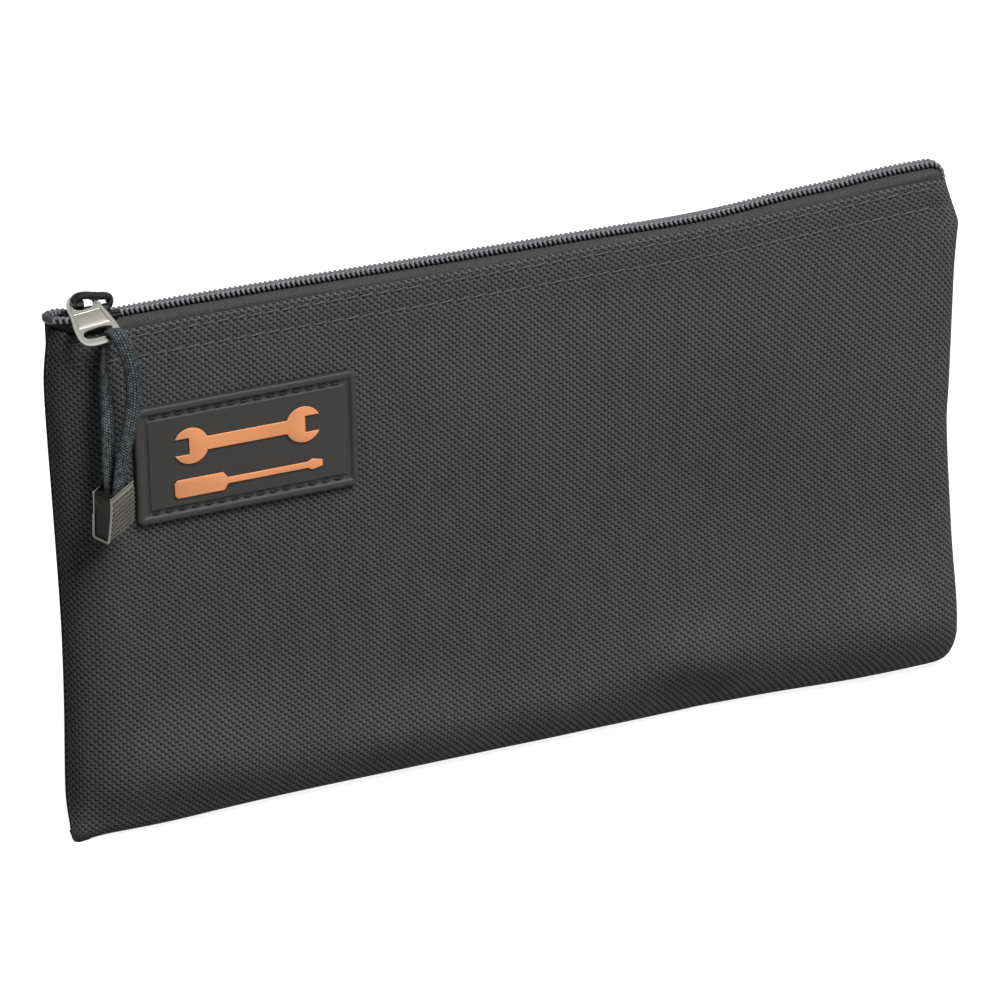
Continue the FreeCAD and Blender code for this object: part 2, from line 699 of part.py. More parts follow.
label_plate = pad(label, "label_plate", outline(label, "label_outline", "XY_Plane", frame), "label_base + rim_height")
fillet(label, "label_corners", label_plate, "label_corner", runs_along(Z))
groove = outline(label, "label_well", "XY_Plane", inset("rim_width"), "label_base + rim_height")
pocket(label, "label_well_cut", groove, "rim_height")
field = outline(label, "label_field", "XY_Plane", inset("rim_width + groove_width"), "label_base")
pad(label, "label_field_pad", field, "field_height")
place(label, LABEL_FACE + OUT * size("label_gap"), LABEL_TURN)

FIELD_AT = LABEL_FACE + OUT * (size("label_gap") + size("label_base") + size("field_height") + size("motif_gap"))
spanner = new_body("label_spanner")
shank = outline(spanner, "shank_outline", "XY_Plane", [
    ("-spanner_length / 2 + spanner_head / 2", "spanner_rise - spanner_shank / 2"),
    ("spanner_length / 2 - spanner_head / 2", "spanner_rise - spanner_shank / 2"),
    ("spanner_length / 2 - spanner_head / 2", "spanner_rise + spanner_shank / 2"),
    ("-spanner_length / 2 + spanner_head / 2", "spanner_rise + spanner_shank / 2"),
])
pad(spanner, "shank", shank, "motif_height")
heads = circles(spanner, "head_outline", "XY_Plane", [
    ("-spanner_length / 2 + spanner_head / 2", "spanner_rise", "spanner_head / 2"),
    ("spanner_length / 2 - spanner_head / 2", "spanner_rise", "spanner_head / 2"),
])
pad(spanner, "heads", heads, "motif_height")
for hand, mark in (("left", "-1 * "), ("right", "")):
    jaw = outline(spanner, hand + "_jaw_outline", "XY_Plane", [
        (mark + "(spanner_length / 2 - spanner_head * 0.45)", "spanner_rise - spanner_jaw / 2"),
        (mark + "(spanner_length / 2 + 1)", "spanner_rise - spanner_jaw / 2"),
        (mark + "(spanner_length / 2 + 1)", "spanner_rise + spanner_jaw / 2"),
        (mark + "(spanner_length / 2 - spanner_head * 0.45)", "spanner_rise + spanner_jaw / 2"),
    ])
    pocket(spanner, hand + "_jaw", jaw, "motif_height", reverse=True)
place(spanner, FIELD_AT, LABEL_TURN)

driver = new_body("label_driver")
grip_end = "-driver_length / 2 + driver_length * 0.36"
driver_outline = outline(driver, "driver_outline", "XY_Plane", [
    ("-driver_length / 2", "-driver_drop - driver_handle / 2 + 1"),
    ("-driver_length / 2 + 1", "-driver_drop - driver_handle / 2"),
    (grip_end + " - 1.5", "-driver_drop - driver_handle / 2"),
    (grip_end, "-driver_drop - driver_shaft / 2"),
    ("driver_length / 2 - 5", "-driver_drop - driver_shaft / 2"),
    ("driver_length / 2 - 3.5", "-driver_drop - driver_shaft * 0.9"),
    ("driver_length / 2", "-driver_drop - driver_shaft * 0.5"),
    ("driver_length / 2", "-driver_drop + driver_shaft * 0.5"),
    ("driver_length / 2 - 3.5", "-driver_drop + driver_shaft * 0.9"),
    ("driver_length / 2 - 5", "-driver_drop + driver_shaft / 2"),
    (grip_end, "-driver_drop + driver_shaft / 2"),
    (grip_end + " - 1.5", "-driver_drop + driver_handle / 2"),
    ("-driver_length / 2 + 1", "-driver_drop + driver_handle / 2"),
    ("-driver_length / 2", "-driver_drop + driver_handle / 2 - 1"),
])
pad(driver, "driver", driver_outline, "motif_height")
place(driver, FIELD_AT, LABEL_TURN)


# sewing thread: short lengths that lie on the cloth
def stitches(start, direction, run, pitch, length):
    """Row of separate stitches centred on a run."""
    count = max(1, int(run / pitch))
    lead = (run - (count - 1) * pitch - length) / 2
    radius = size("thread") / 2
    return Part.makeCompound([
        Part.makeCylinder(radius, length, start + direction * (lead + i * pitch), direction) for i in range(count)
    ])


lift_off = size("thread") / 2 + size("thread_gap")
sewn_run = 2 * (HALF_WIDTH - size("edge_roll")) - 8
for side, word in ((-1, "front"), (1, "back")):
    for row, drop in (("edge", size("edge_row")), ("hem", size("edge_row") + size("row_spacing"))):
        level = HEM_TOP - drop
        start = V(-sewn_run / 2, side * (FACE + lift_off), level)
        solid_node(f"{word}_{row}_stitches", stitches(start, X, sewn_run, size("stitch_pitch"), size("stitch_length")))

seam_face = size("seam_gap") / 2 - size("seam_setback") + 2 * size("binding_cloth") + 2 * size("binding_slack") + size("cloth") + lift_off
seam_low = 2 * size("corner_radius")
seam_run = HEM_TOP - size("hem_width") - 4 - seam_low
for hand, word in ((-1, "left"), (1, "right")):
    start = V(hand * (HALF_WIDTH - size("cloth") - size("seam_inset")), -seam_face, seam_low)
    solid_node(f"{word}_seam_stitches", stitches(start, Z, seam_run, size("stitch_pitch"), size("stitch_length")))
bottom_run = 2 * (HALF_WIDTH - 2 * size("corner_radius"))
start = V(-bottom_run / 2, -seam_face, size("cloth") + size("seam_inset") + 1)
solid_node("bottom_seam_stitches", stitches(start, X, bottom_run, size("stitch_pitch"), size("stitch_length")))

label_run = size("label_width") - 2 * size("rim_width") - 2
rows = []
for hand in (-1, 1):
    rise_up = hand * (size("label_height") / 2 - size("rim_width") - size("groove_width") / 2)
    local = V(-label_run / 2, rise_up, size("label_base") + lift_off)
    start = LABEL_FACE + OUT * size("label_gap") + LABEL_TURN.multVec(local)
    rows.append(stitches(start, X, label_run, size("label_stitch_pitch"), size("label_stitch_length")))
solid_node("label_stitches", Part.makeCompound([stitch for row in rows for stitch in row.Solids]))

doc.recompute()
for item in doc.Objects:
    if "Invalid" in item.State or "Error" in item.State:
        raise RuntimeError(f"{item.Label}: {item.State}")
nodes = [item for item in doc.Objects if item.TypeId in ("PartDesign::Body", "Part::Feature", "Part::Cylinder")]
os.makedirs("parts", exist_ok=True)
for node in nodes:
    if node.Shape.isNull() or not node.Shape.isValid():
        raise RuntimeError(f"{node.Label} has no valid shape")
    box = node.Shape.BoundBox
    print(f"{node.Label:22s} solids {len(node.Shape.Solids):3d} volume {node.Shape.Volume:9.1f} "
          f"x {box.XMin:8.2f} {box.XMax:8.2f} y {box.YMin:7.2f} {box.YMax:7.2f} z {box.ZMin:7.2f} {box.ZMax:7.2f}")
    node.Shape.exportStep(os.path.join("parts", node.Label + ".step"))
print(len(nodes), "nodes")
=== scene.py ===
"""Dress the zippered tool pouch: cloth, zip, slider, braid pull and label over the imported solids."""

import logging
import math
from dataclasses import dataclass
from enum import Enum
from typing import Callable, Sequence, Union

import bmesh
import bpy
from mathutils import Matrix, Vector


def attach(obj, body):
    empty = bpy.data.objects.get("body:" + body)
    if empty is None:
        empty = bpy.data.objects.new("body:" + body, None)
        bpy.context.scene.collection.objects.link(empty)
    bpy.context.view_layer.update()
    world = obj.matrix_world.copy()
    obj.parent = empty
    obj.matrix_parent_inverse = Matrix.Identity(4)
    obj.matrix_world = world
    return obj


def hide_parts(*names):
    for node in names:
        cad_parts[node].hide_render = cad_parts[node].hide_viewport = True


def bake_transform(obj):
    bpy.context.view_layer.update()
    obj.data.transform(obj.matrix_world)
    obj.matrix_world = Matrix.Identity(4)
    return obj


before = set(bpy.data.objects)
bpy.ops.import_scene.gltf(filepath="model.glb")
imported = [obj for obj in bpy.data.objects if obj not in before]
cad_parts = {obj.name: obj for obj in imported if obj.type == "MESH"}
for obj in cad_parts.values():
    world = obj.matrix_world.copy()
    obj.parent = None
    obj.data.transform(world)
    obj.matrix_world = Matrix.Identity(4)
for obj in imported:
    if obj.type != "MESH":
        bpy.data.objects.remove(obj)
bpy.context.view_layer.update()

MM = 0.001
LOG = logging.getLogger("pouch")
Pair = tuple[float, float]
Triple = tuple[float, float, float]
Feeds = Union[dict, Sequence]


class Side(Enum):
    """The half of the pouch that a piece belongs to; the value is the sign of its y."""

    FRONT = -1
    BACK = 1


class Span(Enum):
    """How much of the length a piece takes; the value is its share of the length, from and to."""

    WHOLE = (0.0, 1.0)
    LEFT = (0.0, 0.5)
    RIGHT = (0.5, 1.0)


def linear(code: str) -> tuple[float, float, float, float]:
    """Turn an sRGB hex value into the linear colour that a shader socket takes.

    Args:
        code: the colour, such as "#404042".

    Returns:
        Red, green, blue and an alpha of 1.
    """
    parts = [int(code[i:i + 2], 16) / 255 for i in (1, 3, 5)]
    low, high = [c / 12.92 for c in parts], [((c + 0.055) / 1.055) ** 2.4 for c in parts]
    red, green, blue = [a if c <= 0.04045 else b for c, a, b in zip(parts, low, high)]
    return red, green, blue, 1.0


def clamp(value: float, low: float = 0.0, high: float = 1.0) -> float:
    """Hold a value between two limits."""
    return max(low, min(high, value))


def ease(start: float, end: float, place: float) -> float:
    """Rise smoothly from 0 at start to 1 at end."""
    t = clamp((place - start) / (end - start))
    return t * t * (3 - 2 * t)


def hump(centre: float, reach: float, place: float) -> float:
    """A soft rise of height 1 at its centre."""
    return math.exp(-(((place - centre) / reach) ** 2))


def along(points: Sequence[Pair], place: float) -> float:
    """Read a smooth line through a few given points.

    Args:
        points: places and values, in rising order of place.
        place: where to read the line.

    Returns:
        The value there, held at the end values outside the points.
    """
    if place <= points[0][0]:
        return points[0][1]
    if place >= points[-1][0]:
        return points[-1][1]
    last = len(points) - 1
    i = max(k for k in range(last) if points[k][0] <= place)
    (x0, y0), (x1, y1) = points[i], points[i + 1]

    def slope(k: int) -> float:
        """Slope of the line at point k."""
        a, b = points[max(k - 1, 0)], points[min(k + 1, last)]
        return (b[1] - a[1]) / (b[0] - a[0])

    span = x1 - x0
    t = (place - x0) / span
    rise = slope(i) * span * (t**3 - 2 * t**2 + t) + slope(i + 1) * span * (t**3 - t**2)
    return y0 + (y1 - y0) * t * t * (3 - 2 * t) + rise


def evenly(points: Sequence[Vector], step: float) -> list[Vector]:
    """Read a line at even steps.

    Args:
        points: the line, finely divided.
        step: the distance between the points wanted.

    Returns:
        The points, from the line's start.
    """
    found = [points[0].copy()]
    left = step
    for a, b in zip(points, points[1:]):
        length = (b - a).length
        while length > 0 and left <= length:
            found.append(a.lerp(b, left / length))
            a, length, left = found[-1], length - left, step
        left -= length
    return found


def add_node(tree: bpy.types.NodeTree, kind: str, feeds: Feeds = (), **settings: object) -> bpy.types.Node:
    """Add a shader node with its settings, values and links.

    Args:
        tree: the node tree that takes it.
        kind: the node's type, without the leading "ShaderNode".
        feeds: what its inputs take, in order or by name: a value, a socket, or a node for its first output.
        settings: attributes to set on the node.

    Returns:
        The new node.
    """
    node = tree.nodes.new("ShaderNode" + kind)
    for name, value in settings.items():
        setattr(node, name, value)
    for key, value in feeds.items() if isinstance(feeds, dict) else enumerate(feeds):
        if isinstance(value, bpy.types.Node):
            value = next(output for output in value.outputs if output.enabled)
        if isinstance(value, bpy.types.NodeSocket):
            tree.links.new(value, node.inputs[key])
        else:
            node.inputs[key].default_value = value
    return node


@dataclass(frozen=True)
class Finish:
    """What every finish shares: its name, its colours, its gloss and whether it is a metal."""

    name: str
    colour: str
    roughness: float = 0.5
    metallic: float = 0.0
    specular: float = 0.5

    def material(self) -> bpy.types.Material:
        """Return the finish's material, made once."""
        known = bpy.data.materials.get(self.name)
        if known:
            return known
        material = bpy.data.materials.new(self.name)
        material.use_nodes = True
        shader = material.node_tree.nodes["Principled BSDF"]
        shader.inputs["Base Color"].default_value = linear(self.colour)
        shader.inputs["Roughness"].default_value = self.roughness
        shader.inputs["Metallic"].default_value = self.metallic
        shader.inputs["Specular IOR Level"].default_value = self.specular
        self.detail(material.node_tree, shader)
        return material

    def detail(self, tree: bpy.types.NodeTree, shader: bpy.types.Node) -> None:
        """Add the surface's own pattern."""


@dataclass(frozen=True)
class Woven(Finish):
    """Plain-woven yarn, with its relief painted into its colour: upright yarns show as light bricks of
    painted highlight, with a dark pit of painted shade at every second crossing.

    The pitches of the yarns are in millimetres. Each wave of the pattern is its share of the light, its turns
    across and up in half pitches, and its start; together they draw long bricks and short, slanted pits, and
    the wave with a start moves each brick's painted highlight off its middle, towards the lamp's side.
    Drifts, fibres and clouds are counted per metre: one in 22 mm, in 0.5 mm and in 70 mm. Slubs are counted
    per yarn, and stretched along it.
    """

    # The pit colour is painted shade and the brick colour a painted highlight.
    painted_pit_shade: str = "#0b0b0b"
    painted_brick_highlight: str = "#595959"
    across: float = 1.235
    up: float = 1.13
    relief: float = 0.1
    bump: float = 0.4
    wander: float = 1.0
    slub: float = 0.14
    slubs: float = 3.1
    slub_stretch: float = 0.01
    fuzz: float = 0.35
    tone: float = 0.9
    cloud: float = 0.2
    drifts: float = 45.0
    fibres: float = 2100.0
    clouds: float = 14.0
    waves: tuple[tuple[float, ...], ...] = (
        (-0.26, 1, 1, 0), (-0.12, 1, -1, 0), (0.13, 2, 0, -0.87), (-0.11, 0, 2, 0))

    def detail(self, tree: bpy.types.NodeTree, shader: bpy.types.Node) -> None:
        """Weave the yarns on the piece's own UV map, which is in metres."""
        uv = add_node(tree, "TexCoord").outputs["UV"]
        drift = add_node(tree, "TexNoise", {"Vector": uv, "Scale": self.drifts, "Detail": 1.0})
        moved = add_node(tree, "Math", (drift, self.wander), operation="MULTIPLY")
        parts = add_node(tree, "SeparateXYZ", (uv,))
        upright, level = [
            add_node(tree, "Math", (parts.outputs[k], math.pi / (pitch * MM), moved),
                     operation="MULTIPLY_ADD")
            for k, pitch in enumerate((self.across, self.up))]
        fibres = add_node(tree, "TexNoise", {"Vector": uv, "Scale": self.fibres, "Detail": 1.0})
        height = add_node(tree, "Math", (fibres, self.fuzz, 0.5 - self.fuzz / 2), operation="MULTIPLY_ADD")
        for share, across, up, start in self.waves:
            turn = add_node(tree, "Math", (upright, float(across), start), operation="MULTIPLY_ADD")
            turn = add_node(tree, "Math", (level, float(up), turn), operation="MULTIPLY_ADD")
            wave = add_node(tree, "Math", (turn,), operation="COSINE")
            height = add_node(tree, "Math", (wave, share, height), operation="MULTIPLY_ADD")
        column = add_node(tree, "Math", (upright, 1 / math.pi), operation="MULTIPLY")
        column = add_node(tree, "Math", (column,), operation="ROUND")
        row = add_node(tree, "Math", (level, self.slub_stretch), operation="MULTIPLY")
        yarn = add_node(tree, "CombineXYZ", (column, row))
        uneven = add_node(tree, "TexNoise", {"Vector": yarn, "Scale": self.slubs, "Detail": 0.0})
        cloud = add_node(tree, "TexNoise", {"Vector": uv, "Scale": self.clouds, "Detail": 2.0})
        tone = add_node(tree, "Math", (uneven, self.slub * 2, self.tone - self.slub),
                        operation="MULTIPLY_ADD")
        tone = add_node(tree, "Math", (cloud, self.cloud, tone), operation="MULTIPLY_ADD")
        # Painted light: the relief's height mixes the pits' painted shade into the bricks' painted highlight.
        light = add_node(tree, "Mix", {"Factor": height, "A": linear(self.painted_pit_shade), "B": linear(self.painted_brick_highlight)},
                         data_type="RGBA")
        toned = add_node(tree, "VectorMath", {0: light, "Scale": tone}, operation="SCALE")
        tree.links.new(toned.outputs[0], shader.inputs["Base Color"])
        bump = add_node(tree, "Bump", {"Strength": self.bump, "Distance": self.relief * MM, "Height": height})
        tree.links.new(bump.outputs[0], shader.inputs["Normal"])


@dataclass(frozen=True)
class Grained(Finish):
    """A smooth moulded, coated or plated surface with fine grain and slight colour change."""

    grain: float = 0.4
    relief: float = 0.02
    bump: float = 0.5
    shift: float = 0.08
    rough_shift: float = 0.1
    clouds: float = 120.0

    def detail(self, tree: bpy.types.NodeTree, shader: bpy.types.Node) -> None:
        """Add grain on Object coordinates: its width in millimetres, and clouds counted per metre."""
        place = add_node(tree, "TexCoord").outputs["Object"]
        fine = add_node(tree, "TexNoise", {"Vector": place, "Scale": 1 / (self.grain * MM), "Detail": 2.0})
        broad = add_node(tree, "TexNoise", {"Vector": place, "Scale": self.clouds, "Detail": 3.0})
        tone = add_node(tree, "MapRange",
                        {"Value": broad, "To Min": 1 - self.shift, "To Max": 1 + self.shift})
        shade = add_node(tree, "VectorMath", {0: linear(self.colour)[:3], "Scale": tone}, operation="SCALE")
        tree.links.new(shade.outputs[0], shader.inputs["Base Color"])
        rough = add_node(tree, "MapRange", {"Value": broad, "To Min": self.roughness * (1 - self.rough_shift),
                                            "To Max": self.roughness * (1 + self.rough_shift)})
        tree.links.new(rough.outputs[0], shader.inputs["Roughness"])
        bump = add_node(tree, "Bump", {"Strength": self.bump, "Distance": self.relief * MM, "Height": fine})
        tree.links.new(bump.outputs[0], shader.inputs["Normal"])


@dataclass(frozen=True)
class Braided(Finish):
    """Flat polyester braid: short floats in columns, each column half a float from the next; the floats'
    light colour is a painted sheen, and the dark between them is painted shade in the grooves.

    A float is given in millimetres, and the specks are counted per metre. A lower power makes floats squarer.
    """

    # The groove colour is painted shade between the floats, and the braid's own colour a painted sheen on
    # them.
    painted_groove_shade: str = "#0b0c0d"
    rib: float = 0.95
    columns: int = 18
    powers: Pair = (0.6, 0.8)
    specks: float = 700.0
    speck_range: Pair = (0.3, 0.7)
    brightness: Pair = (0.25, 1.1)
    relief: float = 0.3
    bump: float = 0.9

    def detail(self, tree: bpy.types.NodeTree, shader: bpy.types.Node) -> None:
        """Braid on the UV map: u goes once round the cord, v runs along it in metres."""
        uv = add_node(tree, "TexCoord").outputs["UV"]
        parts = add_node(tree, "SeparateXYZ", (uv,))
        turn = add_node(tree, "Math", (parts.outputs[0], float(self.columns)), operation="MULTIPLY")
        column = add_node(tree, "Math", (turn,), operation="FLOOR")
        shift = add_node(tree, "Math", (column, 0.5), operation="MULTIPLY")
        run = add_node(tree, "Math", (parts.outputs[1], 1 / (self.rib * MM), shift), operation="MULTIPLY_ADD")
        sides = []
        for count, power in zip((turn, run), self.powers):
            angle = add_node(tree, "Math", (count, math.pi), operation="MULTIPLY")
            wave = add_node(tree, "Math", (angle,), operation="SINE")
            size = add_node(tree, "Math", (wave,), operation="ABSOLUTE")
            sides.append(add_node(tree, "Math", (size, power), operation="POWER"))
        height = add_node(tree, "Math", sides, operation="MULTIPLY")
        place = add_node(tree, "TexCoord").outputs["Object"]
        speck = add_node(tree, "TexNoise", {"Vector": place, "Scale": self.specks, "Detail": 1.0})
        low, high = self.speck_range
        dark, light = self.brightness
        bright = add_node(tree, "MapRange", {"Value": speck, "From Min": low, "From Max": high,
                                             "To Min": dark, "To Max": light})
        share = add_node(tree, "Math", (height, bright), operation="MULTIPLY")
        # Painted light: the floats' height mixes the grooves' painted shade into the floats' painted sheen.
        mixed = add_node(tree, "Mix", {"Factor": share, "A": linear(self.painted_groove_shade), "B": linear(self.colour)},
                         data_type="RGBA")
        tree.links.new(mixed.outputs["Result"], shader.inputs["Base Color"])
        bump = add_node(tree, "Bump", {"Strength": self.bump, "Distance": self.relief * MM, "Height": height})
        tree.links.new(bump.outputs[0], shader.inputs["Normal"])


# Ballistic nylon: coarse filament yarn, woven flat and dyed black; matt, with a soft painted sheen on each
# yarn and painted shade in the pits between the yarns.
CLOTH = Woven("ballistic_nylon_woven", "#434343", 0.8, specular=0.06)
# The cloth's inner face has a polyurethane coat: flat, dull and darker than the weave.
COATING = Grained("polyurethane_coating", "#2c2c2e", 0.7, specular=0.15, grain=1.1, relief=0.08)
# Zip tape: fine polyester, woven close; its threads are drawn at 0.7 mm so that they show, with their relief
# painted into the colour as highlight and shade.
TAPE = Woven("zip_tape_polyester", "#3c3b3a", 0.8, specular=0.06, painted_pit_shade="#1c1c1c", painted_brick_highlight="#504f4e",
             across=0.72, up=0.6, relief=0.06, wander=4.0, fuzz=1.8,
             waves=((-0.06, 1, 1, 0), (-0.05, 1, -1, 0), (0.05, 2, 0, 0)))
# Zip coil: drawn nylon monofilament, smooth, with bright lines along each loop.
COIL = Grained("zip_coil_nylon", "#545558", 0.36, specular=0.5, grain=0.5, relief=0.01, shift=0.12)
# Cord inside the coil: spun polyester, black and dull.
COIL_CORE = Grained("zip_core_polyester", "#0e0e0f", 0.8, specular=0.2, grain=0.4, relief=0.05)
# Zip end: the smooth wrap that holds the ring of coil, a dark grey with a dull shine.
ZIP_END = Grained("zip_end_nylon", "#2d2e30", 0.45, specular=0.4, grain=0.5, relief=0.02, shift=0.12)
# Sewing thread: bonded nylon, a little lighter than the cloth.
THREAD = Grained("sewing_thread_nylon", "#585753", 0.7, specular=0.1, grain=0.25, relief=0.05, shift=0.15)
# Thread that holds the label: black.
LABEL_THREAD = Grained("label_thread_nylon", "#0f1011", 0.6, specular=0.3, grain=0.25, relief=0.05)
# Binding: narrow woven polypropylene tape folded over the seam allowances, with its yarns' relief painted
# into the colour as highlight and shade.
BINDING = Woven("binding_tape_polypropylene", "#3a3a3c", 0.7, specular=0.1, painted_brick_highlight="#4e4e52",
                across=1.0, up=0.8)
# Label: moulded soft PVC, satin.
RUBBER = Grained("moulded_pvc_rubber", "#343332", 0.55, specular=0.2, grain=0.35, relief=0.02)
# Motif: orange PVC, moulded into the label.
ORANGE = Grained("orange_pvc_rubber", "#d88f61", 0.55, specular=0.2, grain=0.35, relief=0.015, shift=0.05)
# Tab: die-cast zinc, nickel plated and tumbled; bright on its rims and satin on its face.
NICKEL = Grained("nickel_plated_zinc", "#b9b7b1", 0.28, metallic=1.0, grain=0.3, relief=0.002, shift=0.06)
# Slider: die-cast zinc with a black nickel plate, glossy.
GUNMETAL = Grained("black_nickel_zinc", "#333433", 0.28, metallic=1.0, grain=0.3, relief=0.006, shift=0.1)
# Clip: folded steel with a dark nickel plate, glossy.
CLIP_STEEL = Grained("dark_nickel_steel", "#72706a", 0.24, metallic=1.0, grain=0.3, relief=0.01, shift=0.08)
# Clip jaw: the same steel, browned by its plate and dull.
CLIP_JAW = Grained("browned_steel", "#1d1b18", 0.5, metallic=0.7, grain=0.3, relief=0.02, shift=0.12)
# Clip core: black moulded nylon. The cross pin takes the same black as painted shade, so that its end reads
# as a dark hole.
CORE_AND_PIN_SHADE = Grained("moulded_nylon_core", "#0b0b0a", 0.5, specular=0.2, grain=0.4, relief=0.02)
# Pull: flat polyester braid, black, with a painted sheen on its floats and painted shade in its grooves.
BRAID = Braided("polyester_braid", "#697073", 0.7, specular=0.1)


def settle(bm: bmesh.types.BMesh) -> None:
    """Put a shape's points and faces in order of their place, which is the same in each run."""
    for rank, vert in enumerate(sorted(bm.verts, key=lambda vert: tuple(vert.co))):
        vert.index = rank
    bm.verts.sort()
    ranked = sorted(bm.faces, key=lambda face: sorted(vert.index for vert in face.verts))
    for rank, face in enumerate(ranked):
        face.index = rank
    bm.faces.sort()


def to_piece(name: str, bm: bmesh.types.BMesh, *finishes: Finish) -> bpy.types.Object:
    """Turn a bmesh in millimetres into a smooth-shaded object in metres.

    Args:
        name: the piece's name.
        bm: the shape, which is freed.
        finishes: the finishes of its material slots.

    Returns:
        The object, linked to the scene.
    """
    settle(bm)
    bmesh.ops.scale(bm, vec=(MM, MM, MM), verts=bm.verts)
    for face in bm.faces:
        face.smooth = True
    mesh = bpy.data.meshes.new(name)
    bm.to_mesh(mesh)
    bm.free()
    piece = bpy.data.objects.new(name, mesh)
    bpy.context.scene.collection.objects.link(piece)
    for finish in finishes:
        mesh.materials.append(finish.material())
    return piece


def thicken(piece: bpy.types.Object, thickness: float, inner: int = 0) -> None:
    """Give a cloth or sheet piece its thickness, inwards.

    Args:
        piece: a one-layer mesh whose faces point outwards.
        thickness: in millimetres.
        inner: how many material slots further on the inner face's finish is.
    """
    wall = piece.modifiers.new("thickness", "SOLIDIFY")
    wall.thickness = thickness * MM
    wall.offset = -1.0
    wall.material_offset = inner


def soften(piece: bpy.types.Object, width: float, segments: int = 2) -> None:
    """Round a hard piece's sharp edges and keep its flat faces flat."""
    edge = piece.modifiers.new("edge", "BEVEL")
    edge.width = width * MM
    edge.segments = segments
    edge.limit_method = "ANGLE"
    edge.angle_limit = math.radians(30)
    edge.harden_normals = True


def join(whole: bmesh.types.BMesh, *parts: bmesh.types.BMesh, finish: int = 0) -> bmesh.types.BMesh:
    """Add parts to a shape.

    Args:
        whole: the shape that grows.
        parts: what is added, which is freed.
        finish: the material slot of the parts' faces.

    Returns:
        The grown shape.
    """
    for part in parts:
        for face in part.faces:
            face.material_index = finish
        mesh = bpy.data.meshes.new("part")
        part.to_mesh(mesh)
        part.free()
        whole.from_mesh(mesh)
        bpy.data.meshes.remove(mesh)
    return whole


def strip(columns: int, rows: int, shape: Callable[[int, int], tuple[Vector, Pair]],
          outwards: Vector) -> bmesh.types.BMesh:
    """Make a cloth grid and lay each of its points in place.

    Args:
        columns: steps along the length.
        rows: steps across it.
        shape: gives a point's place and its UV, both in millimetres, for its column and row.
        outwards: the side that the middle face has to point to.

    Returns:
        The grid, with a UV map in metres.
    """
    bm = bmesh.new()
    bmesh.ops.create_grid(bm, x_segments=columns, y_segments=rows, size=1.0)
    layer = bm.loops.layers.uv.new("UVMap")
    flat: dict[bmesh.types.BMVert, Pair] = {}
    place: dict[bmesh.types.BMVert, Pair] = {}
    for vert in bm.verts:
        i = round((vert.co.x + 1) / 2 * columns)
        j = round((vert.co.y + 1) / 2 * rows)
        place[vert] = (i - columns / 2, j - rows / 2)
        vert.co, flat[vert] = shape(i, j)
    for face in bm.faces:
        for loop in face.loops:
            u, v = flat[loop.vert]
            loop[layer].uv = (u * MM, v * MM)
    bm.normal_update()
    middle = min(bm.faces, key=lambda f: abs(place[f.verts[0]][0]) + abs(place[f.verts[0]][1]))
    if middle.normal.dot(outwards) < 0:
        bmesh.ops.reverse_faces(bm, faces=bm.faces)
    return bm


def wires(lines: Sequence[Sequence[Vector]], radius: float, sides: int = 6,
          cyclic: bool = False) -> bmesh.types.BMesh:
    """Run a round wire along each of some lines.

    Args:
        lines: the wires' lines, in millimetres.
        radius: the wires' radius.
        sides: faces round a wire, an even number of 4 or more.
        cyclic: whether each wire closes on itself.

    Returns:
        The wires, with closed ends.
    """
    curve = bpy.data.curves.new("wire", "CURVE")
    curve.dimensions = "3D"
    curve.bevel_depth = radius
    curve.bevel_resolution = max(0, sides // 2 - 2)
    curve.use_fill_caps = not cyclic
    for line in lines:
        spline = curve.splines.new("POLY")
        spline.points.add(len(line) - 1)
        for target, point in zip(spline.points, line):
            target.co = (*point, 1.0)
        spline.use_cyclic_u = cyclic
    holder = bpy.data.objects.new("wire", curve)
    mesh = bpy.data.meshes.new_from_object(holder)
    bm = bmesh.new()
    bm.from_mesh(mesh)
    bpy.data.objects.remove(holder)
    bpy.data.curves.remove(curve)
    bpy.data.meshes.remove(mesh)
    return bm


def outline(bm: bmesh.types.BMesh, count: int, place: Callable[[float], Vector]) -> list[bmesh.types.BMEdge]:
    """Add a closed loop of edges, shaped by a function of the angle round it.

    Args:
        bm: the shape that takes the loop.
        count: how many points it has.
        place: gives a point's place for its angle in radians.

    Returns:
        The loop's edges.
    """
    made = bmesh.ops.create_circle(bm, segments=count, radius=1.0)["verts"]
    for vert in made:
        vert.co = place(math.atan2(vert.co.y, vert.co.x))
    return list(dict.fromkeys(edge for vert in made for edge in vert.link_edges))


